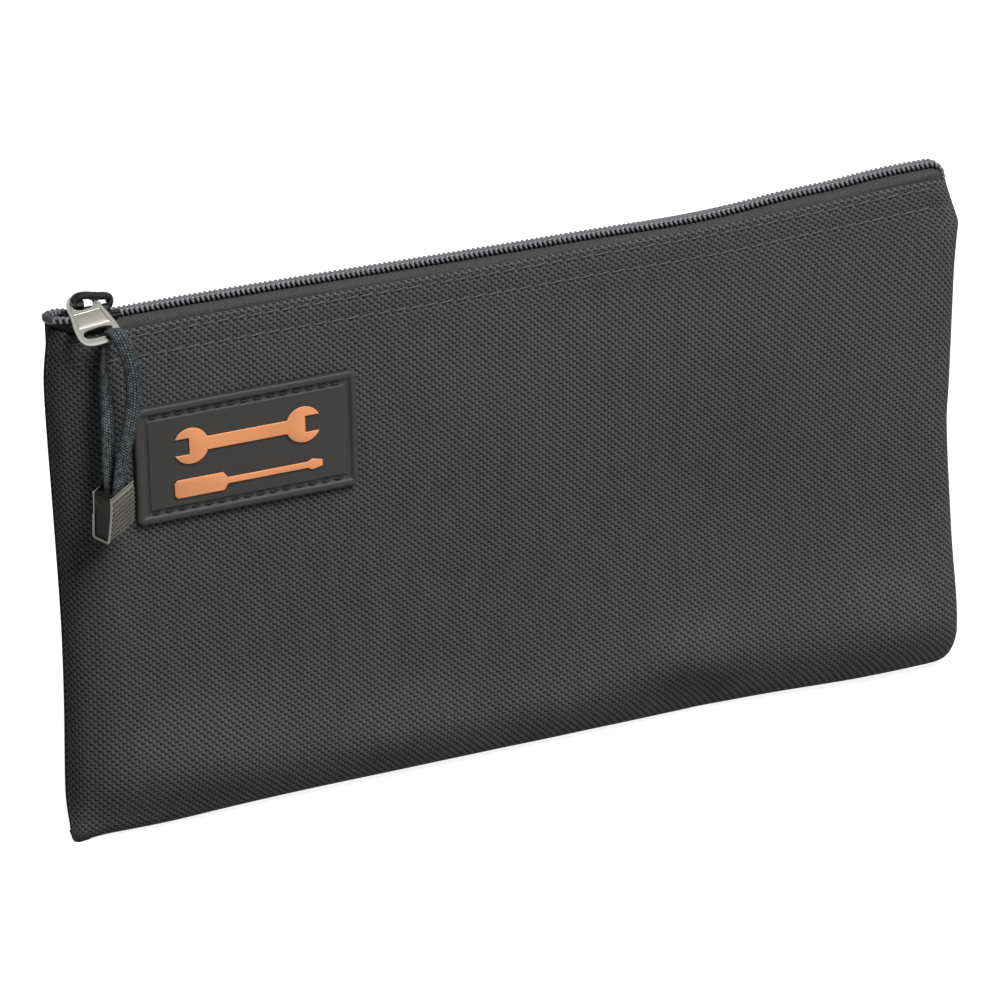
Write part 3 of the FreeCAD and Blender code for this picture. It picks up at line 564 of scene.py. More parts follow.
def sleeve(sides: int, rings: int, shape: Callable[[float, int], Vector], step: float = 1.0,
           capped: bool = True) -> bmesh.types.BMesh:
    """Make a tube of rings and lay each of its points in place.

    Args:
        sides: points in a ring.
        rings: how many rings it has.
        shape: gives a point's place in millimetres for its angle in radians and its ring.
        step: the distance between rings, for the UV map.
        capped: closes both ends; otherwise the last ring is merged with the first where they meet.

    Returns:
        The closed tube, with a UV map: once round it, and along it in metres.
    """
    bm = bmesh.new()
    layer = bm.loops.layers.uv.new("UVMap")
    bmesh.ops.create_circle(bm, segments=sides, radius=1.0, cap_ends=capped)
    edges = bm.edges[:]
    for _ in range(rings - 1):
        made = bmesh.ops.extrude_edge_only(bm, edges=edges)["geom"]
        bmesh.ops.translate(bm, vec=(0, 0, 1), verts=[g for g in made if isinstance(g, bmesh.types.BMVert)])
        edges = [g for g in made if isinstance(g, bmesh.types.BMEdge)]
        edges = [edge for edge in edges if edge.verts[0].co.z == edge.verts[1].co.z]
    if capped:
        bmesh.ops.contextual_create(bm, geom=edges)
    index = {}
    for vert in bm.verts:
        share = math.atan2(vert.co.y, vert.co.x) / (2 * math.pi)
        index[vert] = (round(share * sides) % sides, round(vert.co.z))
    for face in bm.faces:
        spots = [index[vert][0] for vert in face.verts]
        for loop in face.loops:
            n, k = index[loop.vert]
            n = n + sides if n == 0 and max(spots) - min(spots) > 1 else n
            loop[layer].uv = (n / sides, k * step * MM)
    for vert, (n, k) in index.items():
        vert.co = shape(2 * math.pi * n / sides, k)
    if not capped:
        bmesh.ops.remove_doubles(bm, verts=bm.verts, dist=0.001)
    bmesh.ops.recalc_face_normals(bm, faces=bm.faces[:])
    return bm


def squarish(angle: float, power: float) -> Pair:
    """A point of a rounded square of half-width 1; a higher power is squarer."""
    return tuple(math.copysign(abs(part) ** (2 / power), part) for part in (math.cos(angle), math.sin(angle)))


def smooth_line(route: Sequence[Triple]) -> list[Vector]:
    """Read the points of a smooth line from the few points that guide it.

    Args:
        route: the control points, in millimetres.

    Returns:
        The line's points, finely divided.
    """
    curve = bpy.data.curves.new("line", "CURVE")
    curve.dimensions = "3D"
    spline = curve.splines.new("NURBS")
    spline.points.add(len(route) - 1)
    for target, point in zip(spline.points, route):
        target.co = (*point, 1.0)
    spline.order_u = 3
    spline.use_endpoint_u = True
    spline.resolution_u = 24
    holder = bpy.data.objects.new("line", curve)
    mesh = bpy.data.meshes.new_from_object(holder)
    points = [vert.co.copy() for vert in mesh.vertices]
    bpy.data.meshes.remove(mesh)
    bpy.data.objects.remove(holder)
    bpy.data.curves.remove(curve)
    return points


@dataclass(frozen=True)
class Station:
    """One line of a cloth grid, between the seam at its low end and the one at its high end."""

    share: float
    low: float
    high: float
    depth: float
    run: float
    tucked: bool = False


@dataclass(frozen=True)
class PouchForm:
    """The soft shape of the sewn pouch, in millimetres, which every cloth piece reads.

    The front stands at -y and the back at +y. Both meet in a turned-in seam at the sides and the bottom.
    A bulge or dent is its height, its place across and up, and its reach across and up. A dip is its depth,
    its place across and its reach. A foot is how far up the bottom's slant reaches, and its share of the
    depth.
    """

    half_width: float = 158.0
    face: float = 9.0
    seam: float = 1.2
    roll: float = 11.0
    hem: float = 4.5
    slant: float = 17.0
    slant_share: float = 0.65
    slant_power: float = 1.8
    right_round: float = 1.7
    thickness: float = 0.8
    hem_top: float = 171.6
    hem_width: float = 14.0
    hem_follows: float = 0.45
    hem_ends: tuple[Triple, ...] = ((-2.8, 145, 157), (2.0, -147, -156))
    chain_top: float = 177.0
    sag: float = 3.0
    sag_middle: float = 48.0
    sag_left: float = 190.0
    sag_right: float = 95.0
    dips: tuple[Triple, ...] = ((1.1, 68, 28), (0.6, 113, 12))
    floor_rise: float = 0.35
    floor_reach: float = 300.0
    lean: float = 1.1
    lean_span: Pair = (125, 172)
    rows: Pair = (170.0, 163.2)
    pinch: Pair = (0.22, 0.9)
    tuck: tuple[Pair, ...] = ((4.0, -0.012), (1.4, 0.02), (0.3, 0.05), (0.0, 0.12))
    round_start: float = 10.0
    round_steps: int = 11
    back_foot: Pair = (18.0, 0.3)
    front_foot: Pair = (18.0, 0.36)
    middle_foot: Pair = (5.0, 0.1)
    left_foot: Pair = (7.0, -0.04)
    right_foot: Pair = (0.0, -0.24)
    middle_span: Pair = (58, 34)
    left_span: Pair = (-80, -140)
    right_span: Pair = (75, 120)
    left_line: tuple[Pair, ...] = (
        (0, -156.2), (2.5, -157.6), (6, -157.6), (20, -157.2), (48, -156.2), (75, -155.9),
        (117, -156.8), (145, -157.5), (158, -157.4), (169, -156.1), (174, -155.4))
    right_line: tuple[Pair, ...] = (
        (0, 147.5), (2, 152.0), (5, 154.9), (10, 156.4), (14, 156.5), (50, 155.1), (86, 153.7), (100, 154.5),
        (138, 156.5), (150, 157.7), (153.5, 158.2), (155, 158.3), (156.5, 157.9), (160, 156.8), (167, 154.6),
        (172, 153.1))
    bulges: tuple[tuple[float, ...], ...] = (
        (6.4, 128, 21, 30, 18), (3.4, 57, 23, 20, 11), (-1.8, 63, 5, 8, 6), (2.4, -45, 16, 24, 12),
        (4.2, -112, 20, 32, 17), (1.2, 8, 15, 18, 10), (-1.4, 80, 68, 60, 32), (-0.7, -10, 62, 40, 30),
        (-0.55, 26, 152, 5, 9), (-0.45, 11, 149, 4.5, 8), (-0.35, 62, 150, 7, 9), (-1.0, 150, 161, 6, 7),
        (-0.5, 104, 128, 14, 30), (0.5, 84, 126, 14, 26), (0.3, -12, 120, 18, 30))
    back_bulges: tuple[tuple[float, ...], ...] = ((0.9, 0, 30, 150, 40), (-0.5, 0, 110, 90, 40))
    corner_pulls: tuple[tuple[float, ...], ...] = ((-4.5, -157, 0, 9, 9), (-3.2, -131, 0, 24, 8))
    scallops: tuple[float, ...] = (0.3, 35, 9, 55, 8)
    scallop_length: float = 4.6
    ripples: tuple[Triple, ...] = ((0.2, 19, 55), (0.14, 31, -24))
    ripple_span: Pair = (70, 165)
    bottom_swell: Triple = (0.5, 15, 13)

    def rises(self, table: Sequence[Sequence[float]], x: float, z: float) -> float:
        """The sum of some bulges and dents at a place."""
        return sum(h * hump(cx, rx, x) * hump(cz, rz, z) for h, cx, cz, rx, rz in table)

    def drop(self, x: float) -> float:
        """How far the closed zip hangs below its straight line at x."""
        reach = self.sag_left if x < self.sag_middle else self.sag_right
        share = clamp(abs(x - self.sag_middle) / reach)
        sag = self.sag * (0.5 + 0.5 * math.cos(math.pi * share))
        return sag + sum(depth * hump(place, reach, x) for depth, place, reach in self.dips)

    def edges(self, z: float) -> Pair:
        """The side seams at a height, left and right."""
        return along(self.left_line, z), along(self.right_line, z)

    def seam_at(self, x: float, z: float) -> float:
        """The seam's y, which the lower left corner brings forward."""
        return self.seam + self.rises(self.corner_pulls, x, z)

    def floor(self, x: float) -> float:
        """The bottom seam's height at x."""
        return self.floor_rise * math.cos(math.pi * clamp(x / self.floor_reach, -0.5, 0.5)) ** 2

    def foot(self, side: Side, x: float) -> Pair:
        """How far up the bottom's slant reaches at x, and its share of the depth."""
        if side is Side.BACK:
            return self.back_foot
        shares = (1.0, hump(*self.middle_span, x), ease(*self.left_span, x), ease(*self.right_span, x))
        feet = (self.front_foot, self.middle_foot, self.left_foot, self.right_foot)
        reach, slant = (sum(share * foot[k] for share, foot in zip(shares, feet)) for k in (0, 1))
        return reach, slant

    def depth_up(self, side: Side, x: float, z: float) -> float:
        """The share of the full depth at a height: a small round at the bottom, then a slant."""
        reach, slant = self.foot(side, x)
        rise = z - self.floor(x)
        turn, lean = 1 - clamp(rise / self.hem), 1 - clamp(rise / reach)
        return (1 - slant) * math.sqrt(1 - turn * turn) + slant * (1 - lean ** self.slant_power)

    def depth_across(self, x: float, z: float) -> float:
        """The share of the full depth across: a slant at the left seam, and a round at the right."""
        left, right = self.edges(z)
        turn, lean = 1 - clamp((x - left) / self.hem), 1 - clamp((x - left) / self.slant)
        slant = self.slant_share
        near = (1 - slant) * math.sqrt(1 - turn * turn) + slant * (1 - lean ** self.slant_power)
        far = 1 - clamp((right - x) / (self.right_round * self.hem))
        return near * math.sqrt(1 - far * far)

    def top(self, x: float) -> float:
        """The hem's height at x."""
        ends = sum(rise * ease(start, end, x) for rise, start, end in self.hem_ends)
        return self.hem_top - self.hem_follows * self.drop(x) + ends

    def swell(self, side: Side, x: float, z: float) -> float:
        """How far the cloth stands out from its flat face."""
        if side is Side.BACK:
            return self.rises(self.back_bulges, x, z)
        scallops = self.rises((self.scallops,), x, z) * math.sin(x / self.scallop_length)
        upper, plain = (height * math.sin(x / across + z / up) for height, across, up in self.ripples)
        height, place, reach = self.bottom_swell
        waves = upper * ease(*self.ripple_span, z) + plain
        return self.rises(self.bulges, x, z) + scallops + waves + height * hump(place, reach, z)

    def surface(self, side: Side, x: float, z: float) -> float:
        """The y of the cloth's outer face at a place inside the seams."""
        share = self.depth_across(x, z) * self.depth_up(side, x, z)
        depth, reach = self.pinch
        pinch = sum(depth * hump(row, reach, z + self.hem_follows * self.drop(x)) for row in self.rows)
        seam = self.seam_at(x, z)
        lean = self.lean * ease(*self.lean_span, z)
        stand = self.face - side.value * seam + self.swell(side, x, z) - lean - pinch
        return seam + side.value * stand * share

    def rounds(self, reach: float) -> list[Pair]:
        """The cloth's path from its turned-in edge out to the face: inset from the seam, and depth share."""
        sweep = 90 - self.round_start
        angles = [math.radians(self.round_start + sweep * k / self.round_steps)
                  for k in range(self.round_steps + 1)]
        return [*self.tuck] + [(reach * (1 - math.cos(a)), math.sin(a)) for a in angles]


@dataclass(frozen=True)
class ClothPanel:
    """One panel of the pouch: its woven face, its rounded seams and its folded hem.

    A step of the hem's fold is its rise, how far inwards it lies, and the cloth's run to it. The support is
    the share of the length between a half's cut edge and the line beside it, which keeps the shading whole
    there.
    """

    form: PouchForm
    side: Side
    step: float = 1.6
    support: float = 0.0003
    hem_steps: int = 18
    first_guess: float = 155.0
    fold: tuple[Triple, ...] = ((0.45, 0.2, 0.6), (0.85, 0.75, 1.2), (0.75, 1.35, 1.8), (0.0, 1.7, 2.4),
                                (-5.0, 1.75, 7.0), (-13.4, 1.7, 12.0))

    def seam_run(self) -> list[Station]:
        """The lines of a rounded seam, from its tuck out to the face, with the cloth's run along them."""
        form = self.form
        path = form.rounds(form.roll)
        run, before, found = 0.0, path[0], []
        for k, (inset, depth) in enumerate(path):
            run += math.hypot(inset - before[0], (depth - before[1]) * form.face)
            before = (inset, depth)
            found.append(Station(0, inset, 0, depth, run, k < len(form.tuck)))
        return found

    def columns(self, span: Span) -> list[Station]:
        """The grid's upright lines for a span of the length."""
        form = self.form
        ends = self.seam_run()
        shift = form.half_width - form.roll + ends[-1].run
        lefts = [Station(0, s.low, 0, s.depth, s.run - shift, s.tucked) for s in ends]
        rights = [Station(1, 0, s.low, s.depth, shift - s.run, s.tucked) for s in reversed(ends)]
        low, high = span.value
        reach = 2 * (form.half_width - form.roll)
        count = round(reach * (high - low) / self.step)
        shares = [low + (high - low) * k / count for k in range(count + 1)]
        if span is Span.LEFT:
            shares.insert(-1, high - self.support)
        if span is Span.RIGHT:
            shares.insert(1, low + self.support)
        middle = [Station(s, form.roll, form.roll, 1.0, reach * (s - 0.5)) for s in shares]
        if low == 0:
            middle = lefts + middle[1:]
        if high == 1:
            middle = middle[:-1] + rights
        return middle

    def rows(self) -> list[Station]:
        """The grid's level lines, from the bottom's tuck to the hem's turned-in edge."""
        form = self.form
        found = self.seam_run()
        base, length = found[-1].run, form.hem_top - form.roll
        plain = round((length - form.hem_width) / self.step)
        hem_start = plain * self.step / length
        shares = [hem_start * k / plain for k in range(1, plain + 1)]
        shares += [hem_start + (1 - hem_start) * k / self.hem_steps for k in range(1, self.hem_steps + 1)]
        return found + [Station(s, 0, 0, 1.0, base + length * s) for s in shares]

    def level(self, row: Station, x: float) -> float:
        """The height of a level line at x."""
        floor = self.form.floor(x)
        if row.share > 0:
            start = floor + self.form.roll
            return start + (self.form.top(x) - start) * row.share
        return floor + row.low

    def point(self, column: Station, row: Station, turn: int) -> Vector:
        """Lay one grid point.

        Args:
            column: its upright line.
            row: its level line.
            turn: the step of the hem's fold, or -1 below the fold.

        Returns:
            The place in millimetres.
        """
        form = self.form
        x = self.first_guess * (2 * column.share - 1)
        for _ in range(2):
            left, right = form.edges(self.level(row, x))
            start, end = left + column.low, right - column.high
            x = start + (end - start) * column.share
        z = self.level(row, x)
        if column.tucked or row.tucked:
            seam = form.seam_at(x, z)
            whole = form.face - self.side.value * seam
            share = column.depth * (row.depth if row.tucked else form.depth_up(self.side, x, z))
            if row.tucked and not column.tucked:
                share = row.depth * form.depth_across(x, z)
            return Vector((x, seam + self.side.value * whole * share, z))
        y = form.surface(self.side, x, z)
        if turn >= 0:
            up, inwards, _ = self.fold[turn]
            y = y - self.side.value * min(inwards, abs(y - form.seam))
            z = z + up
        return Vector((x, y, z))

    def build(self, name: str, span: Span) -> bpy.types.Object:
        """Make the panel, or one half of it.

        Args:
            name: the piece's name.
            span: the part of the length.

        Returns:
            The cloth piece, with its thickness.
        """
        columns, rows = self.columns(span), self.rows()
        last = len(rows) - 1

        def shape(i: int, j: int) -> tuple[Vector, Pair]:
            """Place and UV of one point."""
            row, turn = rows[min(j, last)], j - last - 1
            run = row.run + (self.fold[turn][2] if turn >= 0 else 0.0)
            return self.point(columns[i], row, turn), (columns[i].run, run)

        bm = strip(len(columns) - 1, last + len(self.fold), shape, Vector((0, self.side.value, 0)))
        piece = to_piece(name, bm, CLOTH, COATING)
        thicken(piece, self.form.thickness, 1)
        return piece


@dataclass(frozen=True)
class Zip:
    """The zip: two tapes and two rows of coil, in millimetres. A ring closes its left end.

    The heads are how far the filled spine lies inwards and up from a row's middle line.
    """

    form: PouchForm
    pitch: float = 1.69
    wire: float = 0.52
    core: float = 0.55
    spine: float = 0.62
    heads: Pair = (0.15, 0.36)
    row_y: float = 0.95
    reach: float = 1.6
    rise: float = 0.64
    tape_top: float = 174.75
    tape_left: float = -156.4
    tape_right: float = 152.6
    ring_middle: float = -149.2
    ring_length: float = 7.0
    ring_width: float = 4.0
    ring_turn: float = 158.0
    ring_lift: float = 1.9
    lift_span: Pair = (-142, -153)
    ring_wrap: float = 1.35
    wrap_share: float = 0.78
    wrap_hides: float = 0.75
    wrap_step: int = 3
    core_step: int = 4
    bow_share: float = 0.7
    bend_from: float = 147.6
    bend: float = 4.6
    bend_angle: float = 80.0
    tail: float = 1.8
    support: float = 0.0005
    steps: int = 10
    ring_points: int = 80
    straight_points: int = 600
    bend_points: int = 20
    tape_columns: int = 150
    tape_thick: float = 0.5
    tape_room: float = 2.0
    least_room: float = 0.2
    hem_room: float = 0.5
    bow_span: Pair = (4.5, 0.9)
    tape_start: float = 60.0
    profile: tuple[Pair, ...] = (
        (0.9, 0.0), (2.0, 0.0), (3.2, -0.05), (4.4, -0.25), (5.3, -0.75), (5.8, -1.6), (6.0, -2.8),
        (6.1, -4.5), (6.3, -8.0), (6.6, -12.0), (6.8, -15.5))

    def bowed(self, x: float) -> float:
        """How far a tape's edge stands out from the middle round the eyelet at the closed end."""
        share = clamp((x - self.ring_middle) / self.ring_length, -1, 1)
        return self.ring_width * self.bow_share * (1 - share * share)

    def lift(self, x: float) -> float:
        """How far the ring stands above the rest of the zip."""
        return self.ring_lift * ease(*self.lift_span, x)

    def fall(self, x: float) -> float:
        """The angle that the zip has turned down by at its right end."""
        most = math.radians(self.bend_angle)
        return math.asin(clamp((x - self.bend_from) / self.bend, 0, math.sin(most)))

    def line(self, side: Side) -> list[Vector]:
        """The middle line of one row, from the ring to the end that turns down into the seam."""
        height = self.form.chain_top - self.wire - self.rise
        plan = []
        for k in range(self.ring_points):
            angle = math.radians(180 - self.ring_turn * k / (self.ring_points - 1))
            x = self.ring_middle + self.ring_length * math.cos(angle)
            plan.append((x, self.ring_width * math.sin(angle), 0.0))
        count = self.straight_points
        start = plan[-1][0]
        plan += [(start + (self.bend_from - start) * k / count, self.row_y, 0.0) for k in range(1, count + 1)]
        most = math.radians(self.bend_angle)
        for k in range(1, self.bend_points + 1):
            angle = most * k / self.bend_points
            x = self.bend_from + self.bend * math.sin(angle)
            plan.append((x, self.row_y, self.bend * (1 - math.cos(angle))))
        x, y, down = plan[-1]
        plan.append((x + self.tail * math.cos(most), y, down + self.tail * math.sin(most)))
        return [Vector((x, side.value * y, height - down - self.form.drop(x) + self.lift(x)))
                for x, y, down in plan]

    def coil(self, name: str, side: Side, span: Span) -> bpy.types.Object:
        """Wind one row of the coil round its core.

        Args:
            name: the piece's name.
            side: which row.
            span: the part of the length.

        Returns:
            The row.
        """
        line = evenly(self.line(side), self.pitch / self.steps)
        half = next(k for k, point in enumerate(line) if point.x >= 0)
        first = 0 if span.value[0] == 0 else half
        last = len(line) - 1 if span.value[1] == 1 else half
        loops, spine = [], []
        for k in range(first, last + 1):
            ahead = line[min(k + 1, len(line) - 1)] - line[max(k - 1, 0)]
            fall = self.fall(line[k].x)
            up = Vector((math.sin(fall), 0, math.cos(fall)))
            out = ahead.cross(up).normalized() * -side.value
            angle = -2 * math.pi * (k / self.steps + (0.5 if side is Side.BACK else 0.0))
            loops.append(line[k] + out * self.reach * math.cos(angle) + up * self.rise * math.sin(angle))
            spine.append(line[k] - out * self.heads[0] + up * self.heads[1])
        wrap_end = self.ring_middle - self.wrap_share * self.ring_length
        closed = [point for point in line[first:last + 1] if point.x < wrap_end]
        bm = wires([loops[int(len(closed) * self.wrap_hides):]], self.wire)
        join(bm, wires([spine[::self.core_step] + [spine[-1]]], self.spine))
        core = line[first:last + 1:self.core_step] + [line[last]]
        join(bm, wires([core], self.core), finish=1)
        if closed:
            join(bm, wires([closed[::self.wrap_step]], self.ring_wrap, 12), finish=2)
        return to_piece(name, bm, COIL, COIL_CORE, *([ZIP_END] if closed else []))

    def tape(self, name: str, side: Side, span: Span) -> bpy.types.Object:
        """Weave one tape: flat under the coil, then over and down behind the hem."""
        form = self.form
        low, high = span.value
        count = round(self.tape_columns * (high - low))

        def shape(i: int, j: int) -> tuple[Vector, Pair]:
            """Place and UV of one point."""
            share = i / count
            if span is Span.LEFT and i == count - 1:
                share = 1 - self.support
            if span is Span.RIGHT and i == 1:
                share = self.support
            x = self.tape_left + (self.tape_right - self.tape_left) * (low + (high - low) * share)
            out, down = self.profile[j]
            end = self.bend * (1 - math.cos(self.fall(x)))
            z = self.tape_top + down - form.drop(x) - end + self.lift(x)
            face = form.surface(side, x, min(z, form.top(x) - self.hem_room))
            room = max(abs(face - form.seam) - self.tape_room, self.least_room)
            out = out + self.bowed(x) * ease(*self.bow_span, out)
            y = form.seam + side.value * min(out - side.value * form.seam, room)
            return Vector((x, y, z)), (x, self.tape_start + out - down)

        bm = strip(count, len(self.profile) - 1, shape, Vector((0, side.value, 0.6)))
        piece = to_piece(name, bm, TAPE)
        thicken(piece, self.tape_thick)
        return piece


@dataclass(frozen=True)
class Sewing:
    """Rows of lock stitch, each stitch a short thread that dips into the cloth at both ends.

    A point of a stitch is its share of the length and its lift off the cloth.
    """

    form: PouchForm
    pitch: float = 5.4
    length: float = 4.5
    thread: float = 0.25
    left: float = -151.5
    right: float = 150.5
    tilts: Pair = (-0.22, 0.3)
    stitch: tuple[Pair, ...] = (
        (0.0, -0.45), (0.08, 0.02), (0.3, 0.24), (0.7, 0.24), (0.92, 0.02), (1.0, -0.45))

    def row(self, name: str, ends: Sequence[tuple[Vector, Vector]], out: Vector,
            finish: Finish) -> bpy.types.Object:
        """Sew a row of stitches.

        Args:
            name: the piece's name.
            ends: where each stitch goes in and comes out.
            out: the side that the stitches lie on.
            finish: the thread.

        Returns:
            The row of stitches as one piece.
        """
        lines = [[a.lerp(b, share) + out * lift for share, lift in self.stitch] for a, b in ends]
        return to_piece(name, wires(lines, self.thread), finish)

    def hem(self, name: str, side: Side, height: float, span: Span) -> bpy.types.Object:
        """Sew one row along the hem.

        Args:
            name: the piece's name.
            side: which panel.
            height: the row's height at the ends.
            span: the part of the length.

        Returns:
            The row of stitches as one piece.
        """
        count = int((self.right - self.left) / self.pitch)
        low, high = (round(count * s) for s in span.value)
        ends = []
        for k in range(low, high):
            x = self.left + self.pitch * k
            pair = []
            for place, tilt in zip((x, x + self.length), self.tilts):
                z = height - self.form.hem_follows * self.form.drop(place) + tilt
                pair.append(Vector((place, self.form.surface(side, place, z), z)))
            ends.append(tuple(pair))
        return self.row(name, ends, Vector((0, side.value, 0)), THREAD)

    def seam(self, name: str, places: Sequence[Vector]) -> bpy.types.Object:
        """Sew the hidden seam through every second gap of a line of places."""
        ends = list(zip(places[::2], places[1::2]))
        return self.row(name, ends, Vector((0, -1, 0)), THREAD)


@dataclass(frozen=True)
class Bindings:
    """Tape folded over the turned-in seam allowances, inside the pouch, and the seams' own thread.

    A point of the folded tape is its inset from the seam's edge and its depth from the seam's middle.
    """

    form: PouchForm
    sewing: Sewing
    low: float = 12.0
    high: float = 154.0
    reach: float = 150.0
    upright_steps: int = 65
    level_steps: int = 130
    thick: float = 0.5
    tape_width: float = 18.0
    seam_inset: float = 1.9
    places: int = 56
    upright_row: Pair = (16.0, 2.5)
    level_row: Pair = (-144.0, 5.2)
    profile: tuple[Pair, ...] = (
        (3.4, -1.2), (7.6, -1.2), (8.4, -0.9), (8.8, 0.0), (8.4, 0.9), (7.6, 1.2), (3.4, 1.2))

    def spot(self, sign: int, run: float, inset: float, depth: float = 0.0) -> Vector:
        """A place inside a seam: the sign is that of a side seam's x, or 0 for the bottom seam.

        Args:
            sign: which seam.
            run: the height on a side seam, or the x on the bottom one.
            inset: how far in from the seam's edge.
            depth: how far off the seam's middle.

        Returns:
            The place in millimetres.
        """
        y = self.form.seam + depth
        if not sign:
            return Vector((run, y, self.form.floor(run) + inset))
        edge = self.form.edges(run)[0 if sign < 0 else 1]
        return Vector((edge - sign * inset, y, run))

    def tape(self, name: str, sign: int) -> bpy.types.Object:
        """Bind a side seam, or the bottom one for a sign of 0."""
        start, end = (self.low, self.high) if sign else (-self.reach, self.reach)
        count = self.upright_steps if sign else self.level_steps

        def shape(i: int, j: int) -> tuple[Vector, Pair]:
            """Place and UV of one point."""
            run = start + (end - start) * i / count
            inset, depth = self.profile[j]
            return self.spot(sign, run, inset, depth), (run, inset if depth < 0 else self.tape_width - inset)

        inwards = Vector((-sign, 0, 0)) if sign else Vector((0, 0, 1))
        piece = to_piece(name, strip(count, len(self.profile) - 1, shape, inwards), BINDING)
        thicken(piece, self.thick)
        return piece

    def thread(self, name: str, sign: int) -> bpy.types.Object:
        """Sew a side seam, or the bottom one for a sign of 0."""
        start, step = self.upright_row if sign else self.level_row
        places = [self.spot(sign, start + step * k, self.seam_inset) for k in range(self.places)]
        return self.sewing.seam(name, places)


@dataclass(frozen=True)
class Slider:
    """The slider: two wings on a post, with rails that hold the coil and an arch for the tab.

    The post and the boss under the arch are each given by their distance from the left end, half their length
    and half their width. A rail is given by its distance from the middle and its height.
    """

    left: float = -148.0
    right: float = -132.6
    wing: float = -135.2
    half_width: float = 4.2
    wing_half_width: float = 2.6
    tapers: Pair = (0.9, 0.6)
    lower: Pair = (172.7, 173.8)
    upper: Pair = (177.0, 177.9)
    post: Triple = (1.6, 1.3, 1.0)
    boss: Triple = (2.2, 2.0, 1.2)
    boss_height: float = 3.6
    overlap: float = 0.1
    rail_places: tuple[Pair, ...] = ((3.9, 173.3), (3.9, 176.4), (3.2, 177.3))
    rail_ends: Pair = (2.5, 0.7)
    rail: float = 0.7
    arch: tuple[Triple, ...] = (
        (-146.9, 0, 177.6), (-147.3, 0, 180.6), (-146.6, 0, 183.0), (-143.6, 0, 183.3), (-139.8, 0, 182.3),
        (-135.6, 0, 181.7), (-134.9, 0, 180.0), (-135.6, 0, 179.0))
    arch_wire: float = 1.22
    arch_step: float = 0.4
    arch_width: float = 1.4
    corner_power: float = 4.0
    corner_points: int = 40
    softness: float = 0.25

    def block(self, middle: float, reach: float, half_width: float, low: float, high: float,
              taper: float = 0.0) -> bmesh.types.BMesh:
        """Make one rounded block of the body.

        Args:
            middle: its x.
            reach: half its length.
            half_width: half its width.
            low: the height of its foot.
            high: the height of its top.
            taper: how much narrower its right end is.

        Returns:
            The closed block.
        """
        bm = bmesh.new()

        def place(angle: float) -> Vector:
            """One point of the block's outline."""
            x, y = squarish(angle, self.corner_power)
            return Vector((middle + reach * x, y * (half_width - taper * (x + 1) / 2), low))

        edges = outline(bm, self.corner_points, place)
        face = bmesh.ops.edgeloop_fill(bm, edges=edges)["faces"]
        raised = bmesh.ops.extrude_face_region(bm, geom=face)["geom"]
        lid = [g for g in raised if isinstance(g, bmesh.types.BMVert)]
        bmesh.ops.translate(bm, vec=(0, 0, high - low), verts=lid)
        bmesh.ops.recalc_face_normals(bm, faces=bm.faces)
        return bm

    def build(self, name: str) -> bpy.types.Object:
        """Cast the slider."""
        middle, reach = (self.left + self.right) / 2, (self.right - self.left) / 2
        bm = self.block(middle, reach, self.half_width, *self.lower, taper=self.tapers[0])
        middle, reach = (self.left + self.wing) / 2, (self.wing - self.left) / 2
        join(bm, self.block(middle, reach, self.wing_half_width, *self.upper, taper=self.tapers[1]))
        low, high = self.lower[1] - self.overlap, self.upper[0] + self.overlap
        join(bm, self.block(self.left + self.post[0], *self.post[1:], low, high))
        low, high = self.upper[1] - self.overlap, self.upper[1] + self.boss_height
        join(bm, self.block(self.left + self.boss[0], *self.boss[1:], low, high))
        start, end = self.left + self.rail_ends[0], self.right - self.rail_ends[1]
        rails = [[Vector((x, sign * y, z)) for x in (start, end)]
                 for sign in (-1, 1) for y, z in self.rail_places]
        join(bm, wires(rails, self.rail, 8))
        band = wires([evenly(smooth_line(self.arch), self.arch_step)], self.arch_wire, 12)
        bmesh.ops.scale(band, vec=(1, self.arch_width, 1), verts=band.verts)
        join(bm, band)
        piece = to_piece(name, bm, GUNMETAL)
        soften(piece, self.softness)
        return piece


